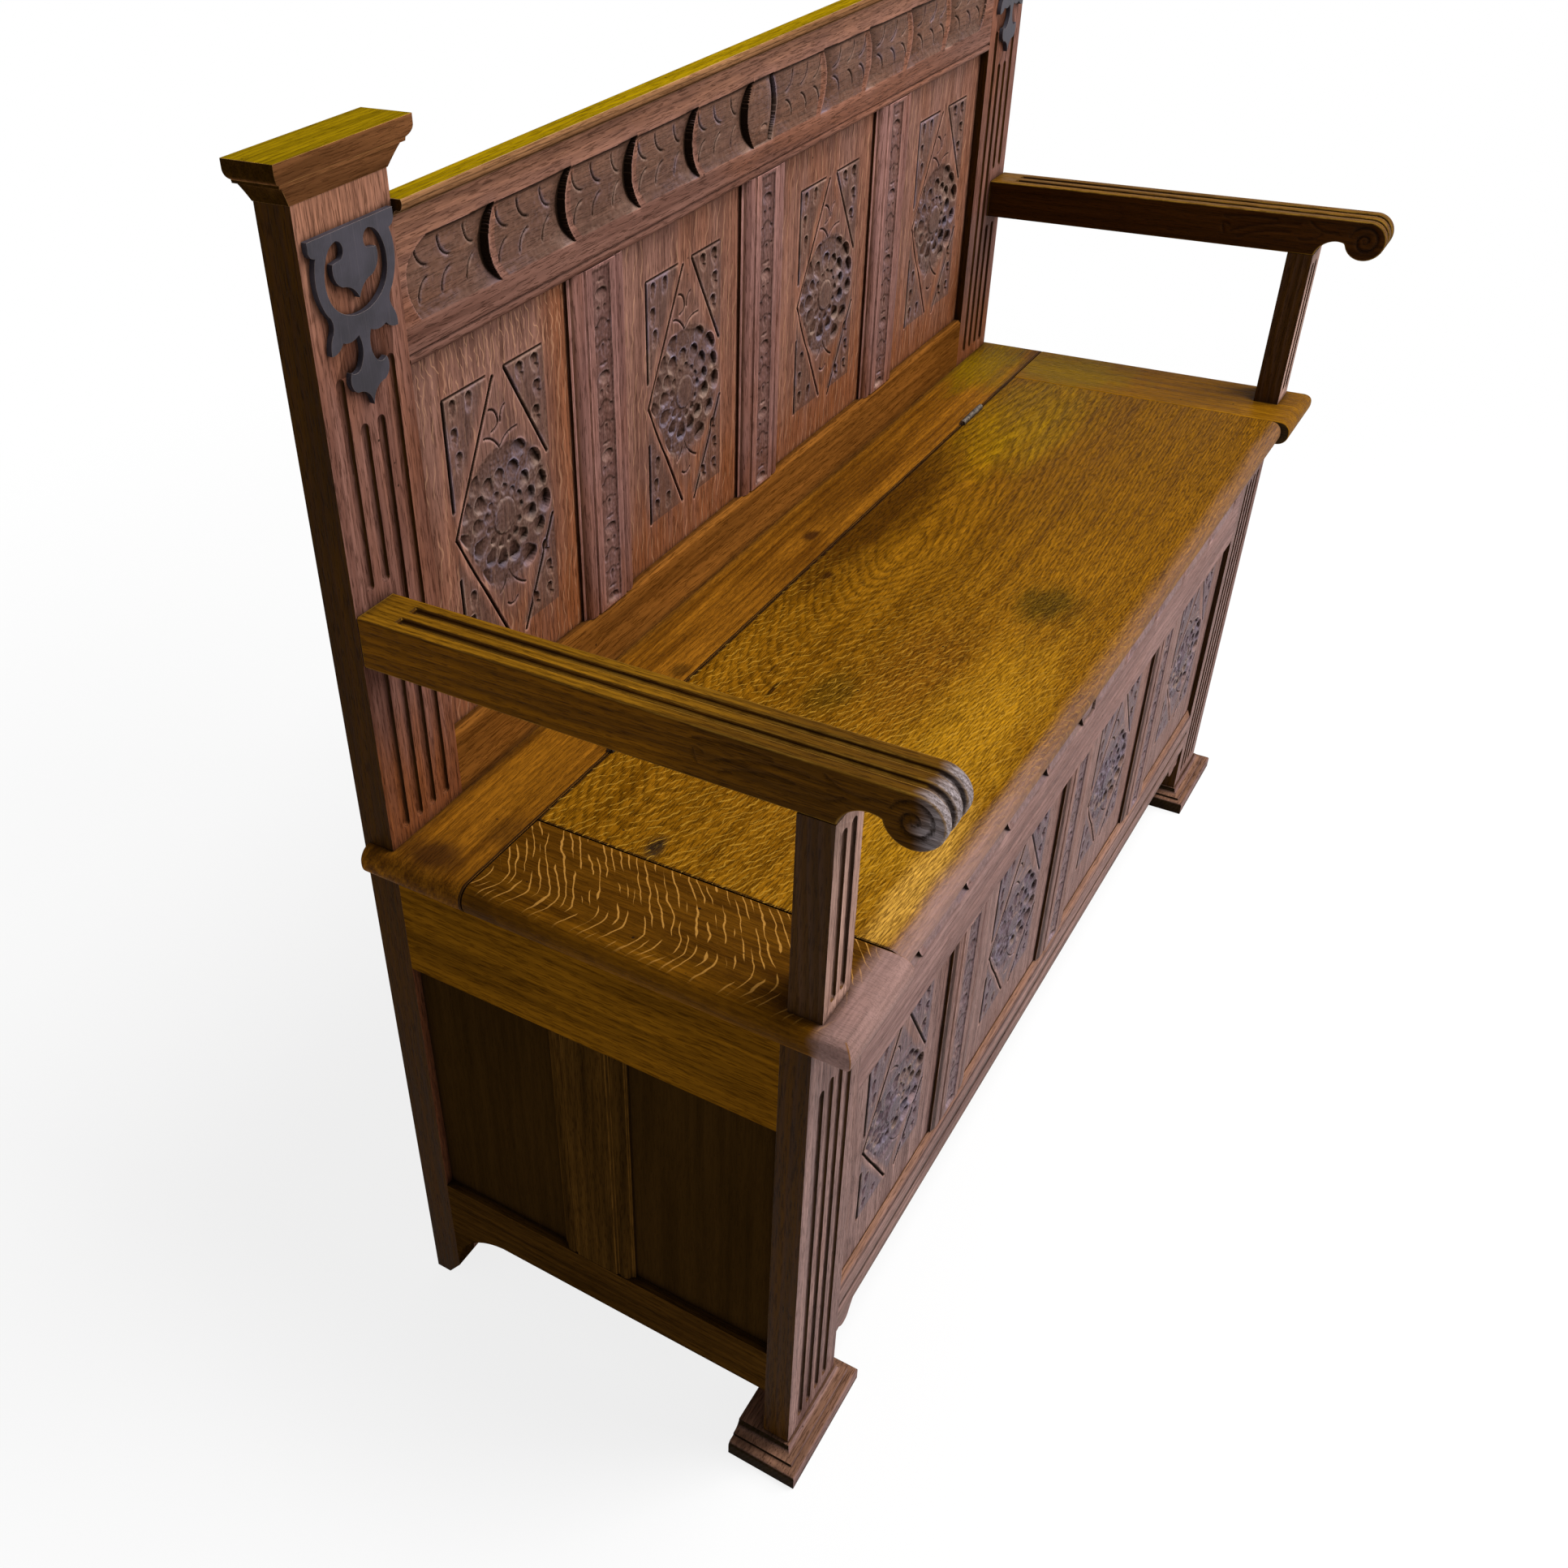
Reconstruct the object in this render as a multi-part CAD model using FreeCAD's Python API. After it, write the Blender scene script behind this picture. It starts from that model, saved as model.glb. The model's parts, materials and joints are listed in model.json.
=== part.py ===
import FreeCAD, Part
import os

# Hall bench of joined oak: a storage box with a hinged lid for a seat, a panelled back and two arms.
# Millimetres. X runs along the bench, Y from front to back, Z up. The origin is on the floor, under
# the middle of the whole bench.

# Overall sizes
body_width = 1100.0          # over the outer faces of the posts and stiles
body_depth = 359.0           # front face of the front posts to rear face of the back stiles
seat_height = 500.0
arm_rise = 191.0             # top of the arms above the seat
back_rise = 253.0            # top of the stiles above the arms
scroll_overhang = 37.0       # front of the arms' scrolls in front of the seat

# Stiles, posts and feet
stile_width = 82.0
stile_thickness = 27.0
post_thickness = 22.0
leg_cut_height = 18.0        # sloping cut at the toe of each rear leg
leg_cut_depth = 13.0
foot_height = 25.0
foot_side_overhang = 20.0
foot_inner_overhang = 15.0
foot_front_overhang = 16.0
foot_rear_overhang = 21.0
foot_tenon = 12.0

# Caps on the stiles
cap_height = 26.0
cap_side_overhang = 17.0
cap_front_overhang = 9.0
cap_rear_overhang = 2.0
cap_tenon = 12.0
cap_tenon_width = 40.0

# Flutes
flute_width = 7.5
flute_depth = 3.0
flute_count = 4
stile_flute_pitch = 15.5
post_flute_pitch = 14.3
flute_margin = 14.0          # plain wood between a flute's end and the seat, the arm or the ornament
outer_flute_rise = 11.0      # the stiles' outermost flutes end above the lower edge of the carved rail
post_flute_low = 17.0        # above the foot
post_flute_high = 61.0       # below the seat board

# Rails, muntins and panels
rail_thickness = 22.0
tenon_thickness = 8.0
rail_tenon = 28.0
side_tenon = 14.0
muntin_tenon = 15.0
panel_thickness = 10.0
panel_tongue = 8.0           # part of each panel's edge that sits in its groove
muntin_count = 3
muntin_width = 73.0
muntin_strip = 37.0          # flat strip between the mouldings
side_muntin_width = 67.0
side_muntin_strip = 37.0
back_recess = 8.0            # how far panels lie behind the face of their frame
front_recess = 5.0
side_recess = 8.0
edge_lip = 3.0               # what is left of a muntin's moulding in front of the panel
muntin_quirk = 2.0           # V groove beside the strip, as deep as half its width
muntin_bead = 5.5            # from the strip's edge to where the moulding falls away
muntin_bead_step = 0.6
muntin_shoulder = 2.0        # flat lip beside the panel
muntin_hollow_pull = 2.0     # moves the middle of the moulding's curve outwards
muntin_tenon_setback = 1.0   # muntins' tenons behind the middle of the rails' thickness

# Back, from the top down
crest_drop = 17.0            # crest below the top of the stiles
crest_height = 10.0
crest_overhang = 8.0
crest_seat = 11.0            # part of the crest's depth that lies on the rail
back_rail_height = 90.0
back_bead = 6.0
seat_rail_rise = 53.0        # above the seat
seat_rail_drop = 70.0        # below the top of the seat
seat_rail_chamfer = 3.0

# Front and sides
front_rail_height = 116.0
bottom_rail_low = 82.0
bottom_rail_height = 56.0
bottom_rail_slope = 10.0     # sloping top edge under the front panels
bottom_rail_band = 24.0      # lower band, below a groove
bottom_rail_groove = 2.0
side_rail_height = 90.0
side_bottom_low = 80.0
side_bottom_height = 50.0
side_bracket_length = 55.0   # the lower edge drops towards the rear leg over this length
bracket_width = 50.0
bracket_drop = 26.0
bracket_thickness = 12.0
bracket_setback = 3.0

# Seat
seat_thickness = 24.0
seat_side_overhang = 12.0
end_board_overhang = 31.0    # in front of the front posts
lid_overhang = 23.0
seat_rear_depth = 68.0       # rear board, lid line to face of the back
nose_flat = 2.0              # upright flat left in the middle of each rounded edge
ear_setback = 5.0            # rear board's ears stop short of the back of the stiles
lid_gap = 1.0
lid_rest_gap = 0.3
batten_width = 32.0
batten_thickness = 16.0
batten_inset = 218.0         # end of the lid to middle of each batten
batten_front_gap = 50.0      # from the lid's nose
batten_rear_gap = 26.0       # from the lid's hinged edge

# Arms
arm_width = 38.0
arm_height = 37.0
arm_groove_width = 5.5
arm_groove_depth = 3.5
arm_groove_stop = 26.0       # plain stretch beside the stile
arm_post_depth = 24.0
arm_post_setback = 25.0      # behind the nose of the end board
arm_arch_rise = 14.0
arm_tenon = 14.0
arm_tenon_height = 20.0
arm_tenon_width = 14.0
post_tenon = 12.0
arm_flute_pitch = 13.0

# Applied ornament
ornament_width = 74.0
ornament_thickness = 4.0
ornament_drop = 20.0         # below the top of the stile

# Box floor
floor_thickness = 12.0
floor_board_count = 3
floor_board_gap = 0.5
floor_play = 0.5
bearer_size = 18.0
bearer_rise = 24.0           # top of the bearers above the bottom rail's lower edge
cleat_size = 20.0
lower_panel_recess = 8.0

# Hinges and screws
hinge_length = 50.0
hinge_inset = 123.0          # end of the lid to middle of each hinge
hinge_pin_radius = 1.25
hinge_bore_play = 0.05
knuckle_radius = 3.0
knuckle_count = 5
knuckle_gap = 0.4
leaf_thickness = 1.8
leaf_height = 18.0
hinge_axis_rise = 1.5        # pin above the top of the seat
knuckle_room = 0.4
leaf_play = 0.1
screw_radius = 1.6
screw_head_radius = 3.2
screw_head_height = 1.4
screw_length = 15.0
screw_pitch = 18.0
screw_play = 0.05
batten_screw_length = 28.0
batten_screw_inset = 25.0    # outer screws from the ends of a batten

# Fits
joint_play = 0.2             # round a tenon in its mortise
mortise_end_play = 0.8       # beyond the end of a tenon
groove_play = 0.1            # each side of a panel in its groove
groove_end_play = 0.8

# Places that follow from the sizes
half_width = body_width / 2
inner_x = half_width - stile_width
overall_depth = cap_rear_overhang + body_depth + end_board_overhang + scroll_overhang
stile_rear = overall_depth / 2 - cap_rear_overhang
stile_front = stile_rear - stile_thickness
front_y = stile_rear - body_depth
frame_rear = front_y + post_thickness
seat_underside = seat_height - seat_thickness
stile_middle = half_width - stile_width / 2
seat_half = half_width + seat_side_overhang
end_board_front = front_y - end_board_overhang
lid_front = front_y - lid_overhang
lid_line = stile_front - seat_rear_depth
muntin_field = (2 * inner_x - muntin_count * muntin_width) / (muntin_count + 1)
muntin_pitch = muntin_width + muntin_field
hinge_place = inner_x - hinge_inset
batten_place = inner_x - batten_inset
stile_height = seat_height + arm_rise + back_rise
hinge_z = seat_height + hinge_axis_rise
crest_top = stile_height - crest_drop
crest_low = crest_top - crest_height
crest_rear = stile_front + crest_seat
back_rail_low = crest_low - back_rail_height
seat_rail_top = seat_height + seat_rail_rise
seat_rail_low = seat_height - seat_rail_drop
front_rail_low = seat_underside - front_rail_height
bottom_rail_top = bottom_rail_low + bottom_rail_height
side_rail_low = seat_underside - side_rail_height
side_bottom_top = side_bottom_low + side_bottom_height
bearer_top = bottom_rail_low + bearer_rise
ornament_top = stile_height - ornament_drop
ornament_unit = ornament_width / 74
ornament_height = 105 * ornament_unit
scroll_front = end_board_front - scroll_overhang

parts = {}


def vector(x, y, z):
    return FreeCAD.Vector(x, y, z)


def block(limits):
    """A box from its limits (x0, x1, y0, y1, z0, z1)."""
    x0, x1, y0, y1, z0, z1 = limits
    return Part.makeBox(x1 - x0, y1 - y0, z1 - z0, vector(x0, y0, z0))


def grown(limits, dx, dy, dz):
    """The limits of a box, moved out by a play along each axis."""
    x0, x1, y0, y1, z0, z1 = limits
    return (x0 - dx, x1 + dx, y0 - dy, y1 + dy, z0 - dz, z1 + dz)


def mirrored(shape):
    """The same piece for the other end of the bench."""
    return shape.mirror(vector(0, 0, 0), vector(1, 0, 0))


def at(axis, u, v, along=0.0):
    """A point of an outline that is drawn square to an axis."""
    if axis == "x":
        return vector(along, u, v)
    if axis == "y":
        return vector(u, along, v)
    return vector(u, v, along)


def outline(axis, start, steps, along):
    """A closed wire: a tuple is the end of a line, a pair of points an arc, a longer list a smooth curve."""
    edges = []
    here = start
    for step in list(steps) + [start]:
        if isinstance(step, tuple):
            if step != here:
                edges.append(Part.makeLine(at(axis, *here, along), at(axis, *step, along)))
            here = step
            continue
        points = [at(axis, *p, along) for p in [here] + step]
        if points[1].distanceToLine(points[0], points[-1] - points[0]) < 0.001:
            edges.append(Part.makeLine(points[0], points[-1]))
        elif len(step) == 2:
            edges.append(Part.Arc(*points).toShape())
        else:
            curve = Part.BSplineCurve()
            curve.interpolate(points)
            edges.append(curve.toShape())
        here = step[-1]
    return Part.Wire(edges)


def prism(axis, low, high, start, steps, holes=()):
    """A solid with one outline square to an axis, from one place on that axis to another."""
    wires = [outline(axis, start, steps, low)]
    wires += [outline(axis, first, rest, low) for first, rest in holes]
    face = Part.makeFace(wires, "Part::FaceMakerBullseye")
    return face.extrude(at(axis, 0, 0, high - low))


def flipped(steps, start):
    """The steps of a half outline, mirrored about the middle line and run backwards."""
    points = [start]
    for step in steps:
        points.append(step if isinstance(step, tuple) else step[-1])
    back = []
    for index in range(len(steps) - 1, -1, -1):
        step = steps[index]
        if isinstance(step, tuple):
            back.append((-points[index][0], points[index][1]))
        else:
            inner = [(-u, v) for u, v in reversed(step[:-1])]
            back.append(inner + [(-points[index][0], points[index][1])])
    return back


def flute(x, face_y, low, high):
    """A stopped flute: a round-bottomed groove with round ends in a face that looks forward."""
    radius = (flute_width ** 2 / 4 + flute_depth ** 2) / (2 * flute_depth)
    axis_y = face_y - (radius - flute_depth)
    bulge = radius * 0.7071
    wire = outline("y", (0.0, low - radius), [
        [(bulge, low - bulge), (radius, low)],
        (radius, high),
        [(bulge, high + bulge), (0.0, high + radius)],
    ], 0.0)
    groove = Part.Face(wire).revolve(vector(0, 0, 0), vector(0, 0, 1), 360)
    groove.translate(vector(x, axis_y, 0))
    return groove


def flute_places(middle, pitch, count):
    """The flutes of a post, from its outer side to its inner side."""
    return [middle + pitch * (index - (count - 1) / 2) for index in range(count)]


def moulded(low, high, over_low, over_high, base, height, curve, axis, depth_low, depth_high):
    """A bar whose two sides carry a moulding: curve gives (share of the overhang, share of the height)."""
    def left(p):
        return (low - over_low * p[0], base + height * p[1])

    def right(p):
        return (high + over_high * p[0], base + height * p[1])

    start = left(curve[0])
    up = []
    down = []
    for step in curve[1:]:
        up.append(left(step) if isinstance(step, tuple) else [left(p) for p in step])
    corners = [step if isinstance(step, tuple) else step[-1] for step in curve]
    for index in range(len(curve) - 1, 0, -1):
        step = curve[index]
        if isinstance(step, tuple):
            down.append(right(corners[index - 1]))
        else:
            down.append([right(step[0]), right(corners[index - 1])])
    return prism(axis, depth_low, depth_high, start, up + [right(corners[-1])] + down)


def rounded_board(low, high, round_low, round_high, axis, along_low, along_high):
    """A seat board, seen along an axis, with a rounded nose at either edge or both."""
    radius = (seat_thickness - nose_flat) / 2
    bulge = radius * (1 - 0.7071)
    top = seat_height
    under = seat_underside
    if round_low:
        start = (low + radius, under)
        steps = [[(low + bulge, under + bulge), (low, under + radius)], (low, top - radius),
                 [(low + bulge, top - bulge), (low + radius, top)]]
    else:
        start = (low, under)
        steps = [(low, top)]
    if round_high:
        steps += [(high - radius, top), [(high - bulge, top - bulge), (high, top - radius)],
                  (high, under + radius), [(high - bulge, under + bulge), (high - radius, under)]]
    else:
        steps += [(high, top), (high, under)]
    return prism(axis, along_low, along_high, start, steps)


def mortise(limits, depth_axis):
    """The mortise for a tenon, longer than the tenon along its depth."""
    play = {"x": joint_play, "y": joint_play, "z": joint_play}
    play[depth_axis] = mortise_end_play
    return block(grown(limits, play["x"], play["y"], play["z"]))


def groove(limits, face_axis):
    """The groove round a panel: close on the panel's faces, with room beyond its edges."""
    play = {"x": groove_end_play, "y": groove_end_play, "z": groove_end_play}
    play[face_axis] = groove_play
    return block(grown(limits, play["x"], play["y"], play["z"]))


def moulded_muntin(width, strip, recess, low, high):
    """An upright with a flat strip between two mouldings, in plan, its face at depth 0 and looking to -v."""
    half = width / 2
    flat = strip / 2
    lip = recess - edge_lip
    step = muntin_bead_step
    bead = flat + muntin_bead
    shoulder = half - muntin_shoulder
    half_steps = [
        (flat, 0.0),
        (flat + muntin_quirk, muntin_quirk),
        (flat + 2 * muntin_quirk, step),
        (bead, step),
        [((bead + shoulder) / 2 + muntin_hollow_pull, step + (lip - step) * 0.35), (shoulder, lip)],
        (half, lip),
        (half, rail_thickness),
    ]
    steps = half_steps + [(-half, rail_thickness)] + flipped(half_steps, (0.0, 0.0))
    return prism("z", low, high, (0.0, 0.0), steps)


def placed(shape, x, y, turn=0.0):
    """A piece drawn about the Z axis, turned about it and set down at (x, y)."""
    shape.rotate(vector(0, 0, 0), vector(0, 0, 1), turn)
    shape.translate(vector(x, y, 0))
    return shape


# Panels of the back, the front, the sides and the rear, as limits that include their tongues
def panel_row(face_y, recess, low, high):
    panels = []
    for index in range(muntin_count + 1):
        x0 = -inner_x + index * muntin_pitch - panel_tongue
        x1 = x0 + muntin_field + 2 * panel_tongue
        y0 = face_y + recess
        panels.append((x0, x1, y0, y0 + panel_thickness, low - panel_tongue, high + panel_tongue))
    return panels


back_panels = panel_row(stile_front, back_recess, seat_rail_top, back_rail_low)
front_panels = panel_row(front_y, front_recess, bottom_rail_top, front_rail_low)

side_middle = (frame_rear + stile_front) / 2
side_face = -half_width
side_panel_x = side_face + side_recess
side_field = (stile_front - frame_rear - side_muntin_width) / 2


def side_panel(y0):
    return (side_panel_x, side_panel_x + panel_thickness, y0 - panel_tongue, y0 + side_field + panel_tongue,
            side_bottom_top - panel_tongue, side_rail_low + panel_tongue)


side_panels = [side_panel(frame_rear), side_panel(side_middle + side_muntin_width / 2)]
lower_panel = (-inner_x - panel_tongue, inner_x + panel_tongue,
               stile_front + lower_panel_recess, stile_front + lower_panel_recess + panel_thickness,
               side_bottom_top - panel_tongue, seat_rail_low + panel_tongue)


# Tenons, as limits: left-hand ends only where the piece is the same at both ends
def end_tenon(face_y, low, high, length):
    """The tenon at the left end of a long rail, in the middle of its thickness."""
    y0 = face_y + (rail_thickness - tenon_thickness) / 2
    return (-inner_x - length, -inner_x, y0, y0 + tenon_thickness, low, high)


tenon_shoulder = 8.0
back_rail_tenon = end_tenon(stile_front, back_rail_low + tenon_shoulder + panel_tongue,
                            crest_top - crest_height - tenon_shoulder, rail_tenon)
seat_rail_tenon = end_tenon(stile_front, seat_rail_low + tenon_shoulder + panel_tongue,
                            seat_rail_top - tenon_shoulder - panel_tongue, rail_tenon)
lower_rail_tenon = end_tenon(stile_front, side_bottom_low + tenon_shoulder,
                             side_bottom_top - tenon_shoulder - panel_tongue, rail_tenon)
front_rail_tenon = end_tenon(front_y, front_rail_low + tenon_shoulder + panel_tongue,
                             seat_underside - tenon_shoulder, rail_tenon)
bottom_rail_tenon = end_tenon(front_y, bottom_rail_low + tenon_shoulder,
                              bottom_rail_top - tenon_shoulder - panel_tongue, rail_tenon)


def side_tenons(low, high):
    """The front and rear tenons of a left-hand side rail."""
    x0 = side_face + (rail_thickness - tenon_thickness) / 2
    x1 = x0 + tenon_thickness
    return ((x0, x1, frame_rear - side_tenon, frame_rear, low, high),
            (x0, x1, stile_front, stile_front + side_tenon, low, high))


side_top_tenons = side_tenons(side_rail_low + tenon_shoulder + panel_tongue, seat_underside - tenon_shoulder)
side_bottom_tenons = side_tenons(side_bottom_low + tenon_shoulder,
                                 side_bottom_top - tenon_shoulder - panel_tongue)

arm_top = seat_height + arm_rise
arm_outer = -half_width
arm_inner = arm_outer + arm_width
arm_bottom = arm_top - arm_height
arm_middle = (arm_outer + arm_inner) / 2
arm_post_front = end_board_front + arm_post_setback
arm_post_rear = arm_post_front + arm_post_depth
arm_rear_tenon = (arm_middle - arm_tenon_width / 2, arm_middle + arm_tenon_width / 2,
                  stile_front, stile_front + arm_tenon,
                  (arm_top + arm_bottom - arm_tenon_height) / 2,
                  (arm_top + arm_bottom + arm_tenon_height) / 2)
arm_post_middle = (arm_post_front + arm_post_rear) / 2
post_top_tenon = (arm_middle - arm_tenon_width / 2, arm_middle + arm_tenon_width / 2,
                  arm_post_middle - tenon_thickness / 2, arm_post_middle + tenon_thickness / 2,
                  arm_bottom, arm_bottom + post_tenon)
post_foot_tenon = (arm_middle - arm_tenon_width / 2, arm_middle + arm_tenon_width / 2,
                   arm_post_middle - tenon_thickness / 2, arm_post_middle + tenon_thickness / 2,
                   seat_height - post_tenon, seat_height)
cap_stub = (-stile_middle - cap_tenon_width / 2, -stile_middle + cap_tenon_width / 2,
            stile_front + (stile_thickness - tenon_thickness) / 2,
            stile_front + (stile_thickness + tenon_thickness) / 2,
            stile_height, stile_height + cap_tenon)
foot_stub = (-stile_middle - cap_tenon_width / 2, -stile_middle + cap_tenon_width / 2,
             front_y + (post_thickness - tenon_thickness) / 2,
             front_y + (post_thickness + tenon_thickness) / 2,
             foot_height - foot_tenon, foot_height)


# Back stiles: one board from floor to cap, which is also the rear leg
def back_stile():
    board = block((-half_width, -inner_x, stile_front, stile_rear, 0, stile_height)).fuse(block(cap_stub))
    cutters = [
        prism("x", -half_width, -inner_x, (stile_front, 0.0), [
            (stile_front + leg_cut_depth, 0.0), (stile_front, leg_cut_height)]),
        mortise(back_rail_tenon, "x"),
        mortise(seat_rail_tenon, "x"),
        mortise(lower_rail_tenon, "x"),
        mortise(side_top_tenons[1], "y"),
        mortise(side_bottom_tenons[1], "y"),
        mortise(arm_rear_tenon, "y"),
        groove(back_panels[0], "y"),
        groove(lower_panel, "y"),
        groove(side_panels[1], "x"),
    ]
    for index, x in enumerate(flute_places(-stile_middle, stile_flute_pitch, flute_count)):
        outermost = index in (0, flute_count - 1)
        under_ornament = ornament_top - ornament_height - flute_margin
        top = back_rail_low + outer_flute_rise if outermost else under_ornament
        if index < flute_count / 2:
            cutters.append(flute(x, stile_front, seat_height + flute_margin, arm_bottom - flute_margin))
            cutters.append(flute(x, stile_front, arm_top + flute_margin, top))
        else:
            cutters.append(flute(x, stile_front, seat_height + flute_margin, top))
    for cutter in cutters:
        board = board.cut(cutter)
    return board


def stile_cap():
    curve = [(0.05, 0.0), [(0.24, 0.19), (0.55, 0.46)], (0.7, 0.46), (0.72, 0.54),
             [(0.93, 0.65), (1.0, 0.81)],
             (1.0, 1.0)]
    deep = cap_side_overhang + cap_front_overhang
    across = moulded(-half_width, -inner_x, cap_side_overhang, cap_side_overhang,
                     stile_height, cap_height, curve, "y", stile_front - deep, stile_rear + deep)
    along = moulded(stile_front, stile_rear, cap_front_overhang, cap_rear_overhang,
                    stile_height, cap_height, curve, "x", -half_width - deep, -inner_x + deep)
    return across.common(along).cut(mortise(cap_stub, "z"))


parts["left_back_stile"] = back_stile()
parts["left_stile_cap"] = stile_cap()


# Back frame between the stiles
def long_rail(section, tenon, cutters):
    """A rail between the stiles or posts, with the same tenon at both ends."""
    rail = section.fuse(block(tenon)).fuse(mirrored(block(tenon)))
    for cutter in cutters:
        rail = rail.cut(cutter)
    return rail


def muntin_places():
    return [(index - (muntin_count - 1) / 2) * muntin_pitch for index in range(muntin_count)]


def muntin_tenon_limits(x, face_y, z0, z1):
    y0 = face_y + (rail_thickness - tenon_thickness) / 2 + muntin_tenon_setback
    half = muntin_strip / 2
    return (x - half, x + half, y0, y0 + tenon_thickness, z0, z1)


def rail_section(start, steps):
    return prism("x", -inner_x, inner_x, start, steps)


def muntin_mortises(face_y, z0, z1):
    return [mortise(muntin_tenon_limits(x, face_y, z0, z1), "z") for x in muntin_places()]


bead_line = back_rail_low + back_bead
back_rear = stile_front + rail_thickness
top_section = rail_section((stile_front, crest_low), [
    (back_rear, crest_low), (back_rear, back_rail_low), (stile_front + back_bead / 2, back_rail_low),
    [(stile_front - back_bead * 0.1, back_rail_low + back_bead * 0.4),
     (stile_front, bead_line - back_bead * 0.2)],
    (stile_front + back_bead * 0.25, bead_line), (stile_front, bead_line + back_bead * 0.25)])
parts["back_top_rail"] = long_rail(
    top_section, back_rail_tenon,
    [groove(p, "y") for p in back_panels]
    + muntin_mortises(stile_front, back_rail_low, back_rail_low + muntin_tenon))


def crest(out, up):
    """A point of the crest's section: the share of its overhang and of its height."""
    return (stile_front - crest_overhang * out, crest_low + crest_height * up)


parts["back_crest_moulding"] = rail_section(crest(0.92, 1.0), [
    (crest_rear, crest_top), (crest_rear, crest_low), crest(0.12, 0.0),
    [crest(0.25, 0.25), crest(0.56, 0.3)],
    crest(0.75, 0.3),
    [crest(1.0, 0.65), crest(0.92, 1.0)]])

seat_section = rail_section((stile_front, seat_rail_low), [
    (stile_front, seat_rail_top - seat_rail_chamfer), (stile_front + seat_rail_chamfer, seat_rail_top),
    (back_rear, seat_rail_top), (back_rear, seat_rail_low)])
parts["back_seat_rail"] = long_rail(
    seat_section, seat_rail_tenon,
    [groove(p, "y") for p in back_panels + [lower_panel]]
    + muntin_mortises(stile_front, seat_rail_top - muntin_tenon, seat_rail_top))


def muntin(x, face_y, recess, low, high, panels):
    bar = placed(moulded_muntin(muntin_width, muntin_strip, recess, low, high), x, face_y)
    bar = bar.fuse(block(muntin_tenon_limits(x, face_y, low - muntin_tenon, high + muntin_tenon)))
    for panel in panels:
        bar = bar.cut(groove(panel, "y"))
    return bar


for index, x in enumerate(muntin_places()):
    parts["back_muntin_%d" % (index + 1)] = muntin(
        x, stile_front, back_recess, seat_rail_top, back_rail_low, back_panels[index:index + 2])
    parts["front_muntin_%d" % (index + 1)] = muntin(
        x, front_y, front_recess, bottom_rail_top, front_rail_low, front_panels[index:index + 2])
for index in range(muntin_count + 1):
    parts["back_panel_%d" % (index + 1)] = block(back_panels[index])
    parts["front_panel_%d" % (index + 1)] = block(front_panels[index])


# Pierced ornament on each stile: a ring round a hanging heart, with horns, a stem and a pendant below
def scroll_ornament():
    edge = [
        (37.0, 0.0),
        (37.0, -4.0),
        [(35.5, -8.5), (32.0, -10.0)],
        [(34.5, -26.0), (28.5, -43.0)],
        [(25.5, -48.0), (26.5, -54.0)],
        [(29.5, -60.0), (30.0, -66.0)],
        [(25.0, -65.5), (19.5, -61.5)],
        [(12.0, -63.0), (5.5, -61.0)],
        [(3.5, -70.0), (7.0, -79.5)],
        [(12.0, -82.0), (16.0, -80.5)],
        [(17.5, -87.0), (12.5, -93.5)],
        [(5.0, -96.0), (0.0, -105.0)],
    ]
    hole = [
        [(14.0, -46.5), (23.5, -38.5), (27.0, -27.0), (25.0, -15.5), (20.0, -8.0), (14.0, -5.5)],
        [(9.0, -10.5), (11.5, -16.0)],
        (19.0, -17.0),
        [(19.0, -25.0), (12.5, -31.5)],
        [(5.0, -34.5), (0.0, -41.0)],
    ]
    ring = (0.0, -49.5)
    plate = prism("y", 0.0, ornament_thickness / ornament_unit, (0.0, 0.0),
                  edge + flipped(edge, (0.0, 0.0)), [(ring, hole + flipped(hole, ring))])
    plate.scale(ornament_unit)
    plate.translate(vector(-stile_middle, stile_front - ornament_thickness, ornament_top))
    return plate


parts["left_scroll_ornament"] = scroll_ornament()


# Front frame: posts on moulded feet, rails, muntins and panels
def front_post():
    post = block((-half_width, -inner_x, front_y, frame_rear, foot_height, seat_underside))
    post = post.fuse(block(foot_stub))
    cutters = [
        mortise(front_rail_tenon, "x"),
        mortise(bottom_rail_tenon, "x"),
        mortise(side_top_tenons[0], "y"),
        mortise(side_bottom_tenons[0], "y"),
        groove(front_panels[0], "y"),
        groove(side_panels[0], "x"),
    ]
    for x in flute_places(-stile_middle, post_flute_pitch, flute_count):
        cutters.append(flute(x, front_y, foot_height + post_flute_low, seat_underside - post_flute_high))
    for cutter in cutters:
        post = post.cut(cutter)
    return post


def front_foot():
    curve = [(1.0, 0.0), (1.0, 0.42), [(0.93, 0.54), (0.72, 0.58)], (0.6, 0.58), (0.58, 0.68),
             [(0.28, 0.76), (0.12, 1.0)]]
    reach = foot_side_overhang + foot_front_overhang
    foot_rear = frame_rear + foot_rear_overhang
    across = moulded(-half_width, -inner_x, foot_side_overhang, foot_inner_overhang,
                     0.0, foot_height, curve, "y", front_y - reach, foot_rear)
    along = moulded(front_y, foot_rear, foot_front_overhang, 0.0,
                    0.0, foot_height, curve, "x", -half_width - reach, -inner_x + reach)
    return across.common(along).cut(mortise(foot_stub, "z"))


parts["left_front_post"] = front_post()
parts["left_front_foot"] = front_foot()

lid_rest = seat_underside - lid_rest_gap
front_section = rail_section((front_y, front_rail_low), [
    (front_y, lid_rest), (frame_rear, lid_rest), (frame_rear, front_rail_low)])
parts["front_top_rail"] = long_rail(
    front_section, front_rail_tenon,
    [groove(p, "y") for p in front_panels]
    + muntin_mortises(front_y, front_rail_low, front_rail_low + muntin_tenon))

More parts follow.
